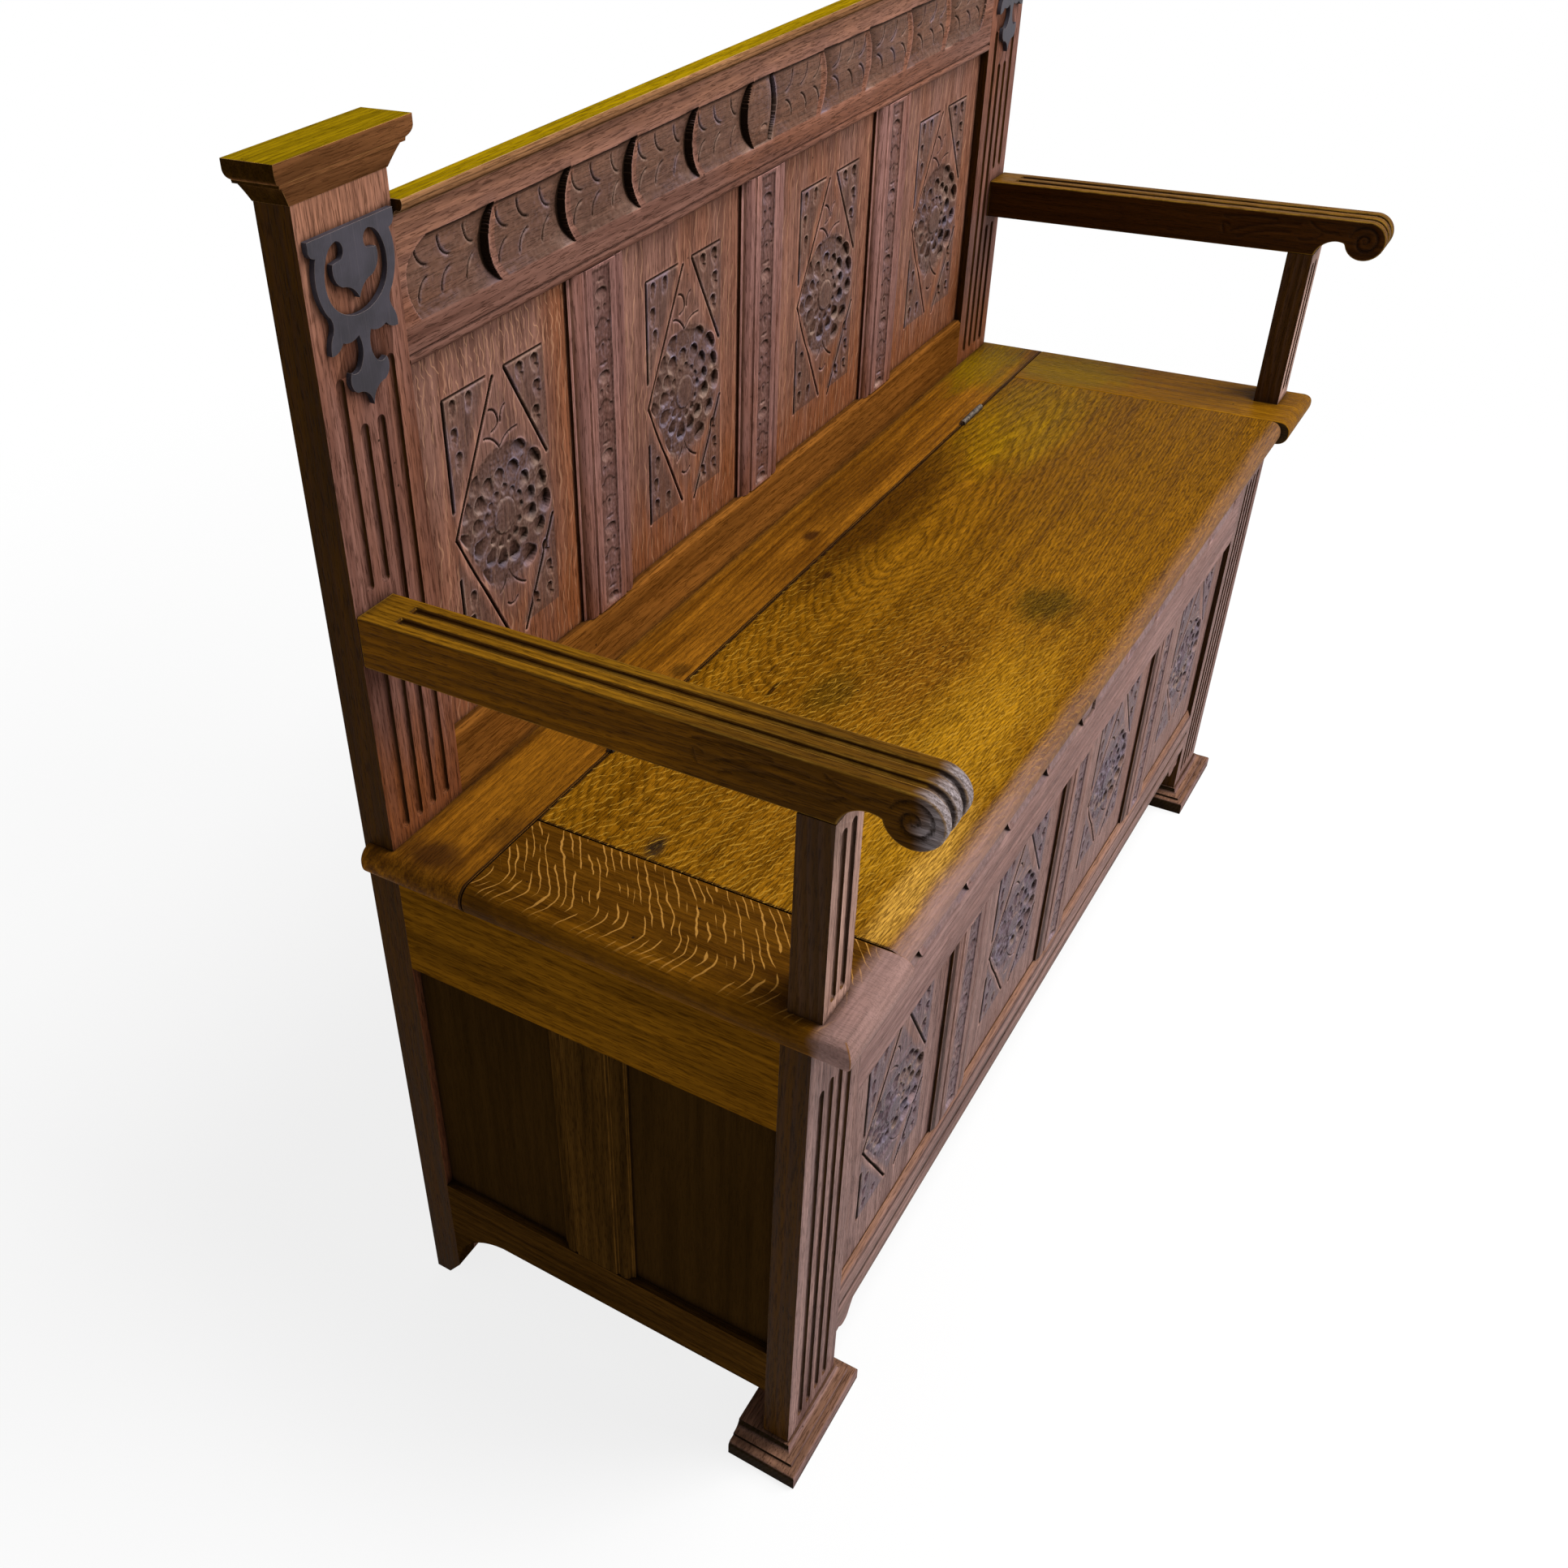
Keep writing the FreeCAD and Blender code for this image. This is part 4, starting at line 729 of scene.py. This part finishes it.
def carved(name, face_y, carving, u_span, v_span, cell):
    """A node whose front face is replaced by a carved one.

    carving(u, v) gives depth in millimetres, matting and blackening (painted shade).
    """
    mesh = eased(name, carved_ease)
    flat = [f for f in mesh.polygons if f.normal.y < -0.999 and abs(f.center.y - face_y * MM) < 2e-5]
    used = {f.index for f in flat}
    corners = np.array([mesh.vertices[i].co for f in flat for i in f.vertices]) / MM
    us, vs = (grid_lines(limits.min(), limits.max(), *span, cell)
              for limits, span in ((corners[:, 0], u_span), (corners[:, 2], v_span)))
    u, v = np.meshgrid(us, vs, indexing="ij")
    depth, matting, black = carving(u, v)
    depth[0, :] = depth[-1, :] = 0
    depth[:, 0] = depth[:, -1] = 0
    shaded, worn_and_lit = shade_wear_and_highlight(depth, us, vs, cell)
    # Blackened walls and cuts join the painted shade, and lose their pale.
    shaded = np.maximum(shaded, black)
    worn_and_lit = worn_and_lit * (1 - unit(black * 1.5))

    old = rows_of(mesh.vertices, "co", 3)
    start = len(old)
    grid = np.stack([u * MM, (face_y + depth) * MM, v * MM], axis=-1).reshape(-1, 3)
    rows, columns = len(us), len(vs)
    corner = start + (np.arange(rows - 1)[:, None] * columns + np.arange(columns - 1)[None, :]).ravel()
    cells = np.stack([corner, corner + columns, corner + columns + 1, corner + 1], axis=1).tolist()
    faces = [list(f.vertices) for f in mesh.polygons if f.index not in used]
    whole = bpy.data.meshes.new(name + "_carved")
    whole.from_pydata(np.concatenate([old, grid]).tolist(), [], faces + cells)
    for key, field in (("painted_shade", shaded), ("wear_and_highlight", worn_and_lit), ("matt", matting)):
        before = np.zeros(start, np.float32)
        if key in mesh.attributes:
            mesh.attributes[key].data.foreach_get("value", before)
        set_field(whole, key, np.concatenate([before, field.ravel()]))
    bpy.data.meshes.remove(mesh)
    return whole


def show(name, mesh):
    """The piece that stands for a node, with its wood and its body."""
    wood_name, slot = finish_of(name)
    mesh.materials.clear()
    mesh.materials.append(woods[wood_name])
    if not mesh.has_custom_normals:
        mesh.shade_smooth()
        mesh.set_sharp_from_angle(angle=math.radians(crease_deg))
    piece = new_object(name + "_piece", mesh)
    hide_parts(name)
    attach(piece, "lid" if name in frame["record"]["behaviour"]["bodies"]["lid"] else "bench")


# Cuts, as depths in millimetres over a face with u to the right and v up
def line_distance(u, v, start, end):
    du, dv = end[0] - start[0], end[1] - start[1]
    share = unit(((u - start[0]) * du + (v - start[1]) * dv) / (du * du + dv * dv))
    return np.hypot(u - start[0] - share * du, v - start[1] - share * dv)


def cut_line(u, v, start, end, width, depth):
    """A straight V cut."""
    return unit(1 - line_distance(u, v, start, end) / (width / 2)) * depth


def cut_curve(u, v, first, bend, last, width, depth):
    """A curved V cut from first to last, pulled towards bend."""
    steps = np.linspace(0, 1, 8)
    points = [tuple((1 - t) ** 2 * np.array(first) + 2 * t * (1 - t) * np.array(bend) + t * t * np.array(last))
              for t in steps]
    away = np.full(u.shape, 99.0)
    for start, end in zip(points[:-1], points[1:]):
        away = np.minimum(away, line_distance(u, v, start, end))
    return unit(1 - away / (width / 2)) * depth


def cut_arc(u, v, centre, radius, first_deg, last_deg, width, depth, ramp):
    """A cut along an arc, sloping up over a ramp towards the arc's centre."""
    middle = math.radians((first_deg + last_deg) / 2)
    half = math.radians(abs(last_deg - first_deg) / 2)
    du, dv = u - centre[0], v - centre[1]
    turn = np.angle(np.exp(1j * (np.arctan2(dv, du) - middle)))
    out = np.hypot(du, dv) - radius
    ends = unit((half - np.abs(turn)) * radius / 3.0)
    slope = np.where(out <= 0, unit(1 + out / ramp), unit(1 - out / (width / 2)))
    return slope * ends * depth


def gouge(u, v, tip, angle_deg, length, width, depth):
    """A spoon-shaped cut: shallow where it starts, with a round, steep end."""
    a = math.radians(angle_deg)
    along = ((u - tip[0]) * math.cos(a) + (v - tip[1]) * math.sin(a)) / length
    side = (-(u - tip[0]) * math.sin(a) + (v - tip[1]) * math.cos(a)) / (width / 2)
    reach = unit(along)
    half = np.sqrt(np.clip(reach * (1 - reach ** 6) * 1.2, 1e-6, 1))
    inside = unit(1 - (side / half) ** 2) ** 0.7
    return np.where((along > 0) & (along < 1), depth * inside * unit(reach * 1.1), 0.0)


def hand_work(u, v, seed, size):
    """The unevenness of work by hand, from -size to size."""
    rough = np.random.default_rng(seed).normal(0, 1, u.shape)
    return np.clip(blurred(rough, 1.2) * 1.6, -1, 1) * size


def petal(u, v, way_deg, inner, length, width, depth):
    """A scoop that widens outwards and ends in a steep round wall: its depth, and where that wall is."""
    a = math.radians(way_deg)
    along = (u * math.cos(a) + v * math.sin(a) - inner) / length
    aside = -u * math.sin(a) + v * math.cos(a)
    tip = np.sqrt(np.clip(1 - unit((along - 0.6) / 0.4) ** 2, 1e-4, 1))
    half = width / 2 * np.clip(0.42 + 0.76 * along, 0.3, 1) * tip
    reach = unit(1 - (aside / half) ** 2)
    on = (along > 0) & (along < 1)
    crescent = unit(1 - reach / 0.5) * (reach > 0) * unit((along - 0.6) / 0.15)
    return np.where(on, depth * reach ** 0.45 * unit(0.1 + 0.95 * along), 0.0), np.where(on, crescent, 0.0)


def lobes(w, v, edges, dips, sunk, arch, bulge):
    """A row of lobes, each dipping under the next one's lip: depth, blackening (painted shade) and where the lips
    are.
    """
    depth = np.zeros_like(w)
    black = np.zeros_like(w)
    rim = np.zeros_like(w)
    for index, (start, end) in enumerate(zip(edges[:-1], edges[1:])):
        away = w - start - bulge
        share = away / (end - start)
        on = (share >= 0) & (share < 1)
        if index == 0:
            on &= away > 14 * unit((v - 8) / 16) ** 2
        cuts = np.zeros_like(w)
        for rise in lobe_cuts:
            for height, first, last in lobe_arcs:
                cuts = np.maximum(cuts, cut_arc(w, v, (start + rise + 12, height), 12.5, first, last, 2.2, 1.4, 1.1))
        gap = end - start - away
        fall = dips[index] * unit(1 - gap / 26) ** 1.6 * arch
        lip = unit(0.25 + away / 6.5) if index else 1.0
        depth = np.where(on, sunk * lip + fall + cuts, depth)
        # The wall where a lobe dips under the next lip, and the V cuts, are painted black: painted shade.
        wall = unit((5.5 * arch ** 1.5 - gap) / 3.0 + 0.4) + unit((26 - gap) / 22) ** 1.5 * 0.5 * arch
        wall = unit(wall) * unit(dips[index] / 3)
        brink = on & (gap < 0.8) & (dips[index] > 3)
        depth = np.where(brink, sunk * 0.25, depth)
        wall = np.where(brink, unit(arch * 3), wall)
        rim = np.where(on & (away < 8) & (index > 0), 1.0, rim)
        black = np.where(on, np.maximum(wall, np.clip(cuts * 1.6 - 0.5, 0, 0.95)), black)
    return depth, black, rim


def frieze(middle_z, seed):
    """The carving of a top rail: lobes from both ends to a round boss."""
    def carving(u, z):
        v = z - middle_z
        bulge = lip_bulge * ((v - 1) / frieze_rise) ** 2
        arch = np.sqrt(unit(1 - (v / (frieze_fall + 0.5)) ** 2))
        sunk = band_depth * unit((frieze_rise - v) / 0.9) * unit((v + frieze_fall) / 10) ** 0.8
        dips = [lip_depth] * 5
        left, left_black, left_rim = lobes(u, v, left_lips, dips, sunk, arch, bulge)
        right, right_black, right_rim = lobes(-u, v, right_lips, dips[:-1] + [0.6], sunk, arch, bulge)
        depth = np.where(u < 0, left, right)
        black = np.where(u < 0, left_black, right_black)
        plain = np.where(u < 0, left_rim, right_rim)
        width = -right_lips[-1] - left_lips[-1]
        share = (u - left_lips[-1] - bulge) / np.maximum(width - 2 * bulge, 1)
        ball = ((u - (left_lips[-1] + width / 2)) / (width / 2)) ** 2 + (v / frieze_rise) ** 2
        boss = sunk * 0.4 + 1.5 * unit(ball) ** 2 + lip_depth * unit((share - 0.62) / 0.38) ** 2 * arch
        boss += cut_arc(u, v, (-9, -20), 9.5, 40, 130, 1.6, 1.2, 3.0)
        on_boss = (share >= 0) & (share < 1)
        depth = np.where(on_boss, boss, depth)
        # The boss's ends are painted black: painted shade.
        boss_black = np.maximum(unit((share - 0.86) / 0.1), unit(1.4 - share * width) * 0.85) * arch
        black = np.where(on_boss, boss_black, black)
        inside = np.abs(v) < frieze_fall
        # A painted shadow line under the carved band's top edge.
        edge = unit((v - frieze_rise + 3.2) / 1.8) * 0.85 * (depth > 0)
        black = np.maximum(black, edge)
        matting = inside * (depth > 0.3) * (0.85 - plain)
        return np.where(inside, depth + hand_work(u, v, seed, 0.15), 0), matting, black * inside
    return carving


def rosette_panel(centre_x, row, seed):
    """The carving of a panel: a rosette in an open lozenge, and gouged corners."""
    centre_z, rise, drop = field_z[row], field_rise[row], field_drop[row]
    half_u, half_v = lozenge_half

    def carving(x, z):
        u, v = x - centre_x, z - centre_z
        v = np.where(v > 0, v / rise, v / drop)
        black = np.zeros_like(u)
        up = v - rosette_v
        radius = np.hypot(u, up)
        depth = unit((54.0 - radius) / 5) * unit((radius - 12.5) / 1.0) * 1.1
        within = unit((0.96 + u / half_u - np.abs(v) / half_v) * 16)
        for ring, (inner, length, width, deep, count, first) in enumerate(rosette_rings):
            for index in range(count):
                way = 360 * index / count + first + 3 * math.sin(index * 5.1 + seed)
                rising, ahead = math.sin(math.radians(way)), math.cos(math.radians(way))
                if ring == 2 and abs(rising) > 0.93:
                    continue
                vary = 1 + 0.1 * math.sin(index * 2.4 + ring + seed)
                scoop, crescent = petal(u, up, way, inner, length * vary, width * vary, deep * vary)
                depth = np.maximum(depth, scoop * within)
                shadow = np.clip(0.45 + 0.6 * rising - 0.2 * ahead, 0.1, 0.95)
                black = np.maximum(black, crescent * within * shadow)
        for first, bend, last in leaf_cuts:
            cut = cut_curve(u, v, first, bend, last, 2.4, 1.5)
            depth = np.maximum(depth, cut)
            # Painted shade in the cut.
            black = np.maximum(black, np.clip(cut * 1.4 - 0.5, 0, 0.9))
        for across, up_place in drop_places:
            for side in (-1, 1):
                for end in (-1, 1):
                    grow = 1.25 if side > 0 and end > 0 else 1.0
                    tip = (side * across, up_place - 13 if end > 0 else -up_place)
                    depth = np.maximum(depth, gouge(u, v, tip, 90, 14, 9.0 * grow, 3.2 * grow))
                    depth = np.maximum(depth, gouge(u, v, (tip[0] + 1.5 * side, tip[1] - 1), 84, 7, 8.0, 1.8))
        inside = unit((60 - radius) / 10) * within
        corner = unit((np.abs(u) / 58 + np.abs(v) / 104 - 1.08) * 9) * (np.abs(u) < 58) * (np.abs(v) < half_v)
        lozenge = unit((1 - np.abs(u) / half_u - np.abs(v) / half_v) * 14)
        matting = np.maximum(np.maximum(inside, corner * 0.8), lozenge * lozenge_matt[row])
        depth = depth + hand_work(u, v, seed, 0.3) * np.maximum(inside, corner * 0.8)
        # The lozenge's V cuts are painted black: painted shade in the cuts.
        for start, end in field_lines:
            falls = (end[0] - start[0]) * (end[1] - start[1]) < 0
            cut = cut_line(u, v, start, end, 3.2 if falls else line_width[row], 3.2)
            depth = np.maximum(depth, cut)
            black = np.maximum(black, unit(cut * line_shade[row] - 0.25))
        for start, end in top_lines:
            cut = cut_line(u, v, start, end, line_width[row] * 0.75, 1.6)
            depth = np.maximum(depth, cut)
            black = np.maximum(black, np.clip(cut * 1.2 - 0.4, 0, 0.85))
        return depth, matting, black
    return carving


def husk_chain(centre_x, low, high, top, seed):
    """The carving of a muntin's strip: husks hanging one from the other in a sunk ground."""
    def carving(x, z):
        u = x - centre_x
        inside = (np.abs(u) < strip_half) & (z > low) & (z < high)
        depth = unit((strip_half - np.abs(u)) / 0.9) * unit((z - low) / 2) * unit((high - z) / 2)
        count = int((high - low) // husk_pitch) + 2
        for index in range(count + 1):
            v = z - (top - index * husk_pitch)
            for start_u, start_v, way, length, width, deep in husk_cuts:
                depth = np.maximum(depth, gouge(u, v, (start_u, start_v), way, length, width, deep + 0.6))
        ends = unit((z - low) / 3) * unit((high - z) / 3)
        depth = np.where(inside, depth * ends + hand_work(u, z, seed, 0.25), 0)
        # The deepest parts and the arcs of each husk are painted dark: painted shade.
        black = unit(depth - 2.9) * 0.5
        for index in range(count + 1):
            v = z - (top - index * husk_pitch)
            for centre_v, radius, strength in husk_arcs:
                line = cut_arc(u, v, (0, centre_v), radius, 18, 162, 2.6, 1.0, 1.8)
                black = np.maximum(black, np.where(inside, line * strength, 0))
        return np.clip(depth, 0, 4.4), inside * 0.7, black
    return carving


def arm_side(y, z):
    """The carving of an arm's side: the scroll's spiral, and a leaf over the post."""
    ahead, up = scroll_y - y, z - scroll_z
    radius = np.hypot(ahead, up)
    turn = np.mod(180 - np.degrees(np.arctan2(up, ahead)), 360) / 360
    depth = np.zeros_like(y)
    for lap in range(2):
        winding = turn + lap
        line = (scroll_radius - 3.6) - 8.0 * winding
        groove = unit(1 - np.abs(radius - line) / 1.7) * unit((1.7 - winding) * 6)
        depth = np.maximum(depth, groove * unit(winding * 8) * 1.9)
    depth = np.maximum(depth, unit(1 - np.abs(radius - 2.2) / 0.9) * 1.2)
    for first, bend, last in arm_cuts:
        depth = np.maximum(depth, cut_curve(-y + scroll_y, up, first, bend, last, 3.4, 1.0))
    return depth


def carved_arm(name, cell):
    """An arm whose flat sides carry their carving."""
    mesh = eased(name, arm_ease)
    x0, x1, _, _, z0, z1 = box_mm(name)
    leaf_end = scroll_y + leaf_reach
    bm = bmesh.new()
    bm.from_mesh(mesh)
    for number, low, high in ((1, scroll_y - scroll_radius, leaf_end), (2, z0, z1)):
        normal = Vector((0, 0, 0))
        normal[number] = 1
        for place in np.arange(low + cell / 2, high, cell):
            faces = [f for f in bm.faces if abs(f.normal.x) > 0.99]
            edges = {e for f in faces for e in f.edges}
            verts = {v for f in faces for v in f.verts}
            bmesh.ops.bisect_plane(bm, geom=list(verts) + list(edges) + faces, plane_co=normal * (place * MM),
                                   plane_no=normal, dist=1e-7)
    free = [v for v in bm.verts if all(abs(f.normal.x) > 0.99 for f in v.link_faces) and v.co.y < leaf_end * MM]
    depth = arm_side(np.array([v.co.y for v in free]) / MM, np.array([v.co.z for v in free]) / MM)
    shaded = bm.verts.layers.float.get("painted_shade")
    middle = (x0 + x1) / 2 * MM
    for vert, deep in zip(free, depth):
        vert.co.x -= math.copysign(deep * MM, vert.co.x - middle)
        # The spiral's grooves get painted shade by their depth.
        vert[shaded] = min(1.0, deep * 0.45)
    bm.to_mesh(mesh)
    bm.free()
    return mesh


def ease_of(name):
    """How far a node's edges are worn, and from which angle on."""
    fluted = any(key in name for key in ("stile", "front_post", "arm_post")) and "cap" not in name
    width = cap_ease if "cap" in name else plain_ease
    if any(key in name for key in ("hinge", "screws", "ornament")):
        width = small_ease
    return width, fluted_deg if fluted else worn_deg


# Pieces
face_y = {"back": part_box("left_back_stile")[0][1] / MM, "front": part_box("left_front_post")[0][1] / MM}
cell = {part: fine for part, (fine, rough) in cell_mm.items()}
pieces = {}
for seed, row in enumerate(("back", "front")):
    name = row + "_top_rail"
    middle_z = frieze_z[row]
    pieces[name] = carved(name, face_y[row], frieze(middle_z, seed), (-frieze_reach, frieze_reach),
                          (middle_z - frieze_fall - 1, middle_z + frieze_rise + 1), cell["rail"])
    centre_z = field_z[row]
    for index in range(4):
        name = f"{row}_panel_{index + 1}"
        x0, x1, y0 = box_mm(name)[:3]
        centre_x = (x0 + x1) / 2 + field_shift[row][index]
        pieces[name] = carved(name, y0, rosette_panel(centre_x, row, 10 * seed + index),
                              (centre_x - field_side, centre_x + field_side),
                              (centre_z - field_foot * field_drop[row], centre_z + field_head * field_rise[row]),
                              cell["panel"])
    low, high = (limit + inset for limit, inset in zip(box_mm(row + "_panel_1")[4:], (10, -10)))
    for index in range(3):
        name = f"{row}_muntin_{index + 1}"
        x0, x1 = box_mm(name)[:2]
        middle_x = (x0 + x1) / 2
        husks = husk_chain(middle_x, low, high, husk_tops[row], 30 + 10 * seed + index)
        pieces[name] = carved(name, face_y[row], husks, (middle_x - strip_half - 1, middle_x + strip_half + 1),
                              (low - 1, high + 1), cell["muntin"])
for name in ("left_arm", "right_arm"):
    pieces[name] = carved_arm(name, cell["arm"])
for name in sorted(frame["nodes"]):
    if name not in pieces:
        pieces[name] = eased(name, *ease_of(name))
for name, mesh in sorted(pieces.items()):
    show(name, mesh)

# Stage
floor_half, floor_z = 12, -0.0005
floor = new_object("floor", bpy.data.meshes.new("floor"))
floor.data.from_pydata([(x * floor_half, y * floor_half, floor_z) for x, y in ((-1, -1), (1, -1), (1, 1), (-1, 1))],
                       [], [(0, 1, 2, 3)])


def seen_directly(s):
    """1 for rays from the camera, for mirror images and through glass."""
    rays = s.add("LightPath", {}).node.outputs
    mirrored = s.math("MAXIMUM", rays["Is Camera Ray"], rays["Is Glossy Ray"])
    return s.math("MAXIMUM", mirrored, rays["Is Transmission Ray"])


def pale_floor():
    """A pale floor that shows white away from the bench."""
    s = Shader(bpy.data.materials.new("pale_floor"))
    mottle = s.noise(s.place_in_object(), 3.0, 2.0)
    lit = s.surface(s.mix(mottle, (0.8, 0.8, 0.8, 1), (0.84, 0.84, 0.84, 1)), 0.8, gloss=0.1)
    white = s.add("Emission", {"Color": (1, 1, 1, 1), "Strength": 1.0})
    away = s.add("VectorMath", {0: s.place_in_object()}, output=1, operation="LENGTH")
    glow = s.times(seen_directly(s), s.smooth(away, 0.6, 2.2, 0.82, 1.0))
    return s.finish(s.add("MixShader", {0: glow, 1: lit, 2: white}))


def studio_world():
    """White to the eye, and dimmer as a light."""
    s = Shader(bpy.data.worlds.new("studio"))
    strength = s.span(seen_directly(s), 0.0, 1.0, 0.3, 1.0)
    s.add("OutputWorld", {0: s.add("Background", {"Color": (1, 1, 1, 1), "Strength": strength})})
    return s.owner


floor.data.materials.append(pale_floor())
bpy.context.scene.world = studio_world()


def lamp(name, place, target, size, watts):
    """A soft square lamp that faces a point."""
    data = bpy.data.lights.new(name, "AREA")
    data.size = size
    data.energy = watts
    light = new_object(name, data)
    light.location = place
    light.rotation_euler = (Vector(target) - Vector(place)).to_track_quat("-Z", "Y").to_euler()


lamp("window", (1.9, -2.9, 2.6), (0, 0, 0.5), 1.9, 105)
lamp("ceiling", (0.3, -1.0, 3.3), (0, 0, 0.4), 1.2, 90)

camera_data = bpy.data.cameras.new("camera")
camera_data.sensor_width = sensor_mm
camera_data.lens = focal_px / picture_px * sensor_mm
camera_data.shift_x = 0.5 - centre_px[0] / picture_px
camera_data.shift_y = centre_px[1] / picture_px - 0.5
camera_data.clip_start = 0.05
camera_data.clip_end = 60
camera = new_object("camera", camera_data)
up = right_hand.cross(looks)
turn = Matrix((right_hand, up, -looks)).transposed()
camera.matrix_world = Matrix.Translation(eye) @ turn.to_4x4()
bpy.context.scene.camera = camera
bpy.context.scene.view_settings.view_transform = "Standard"
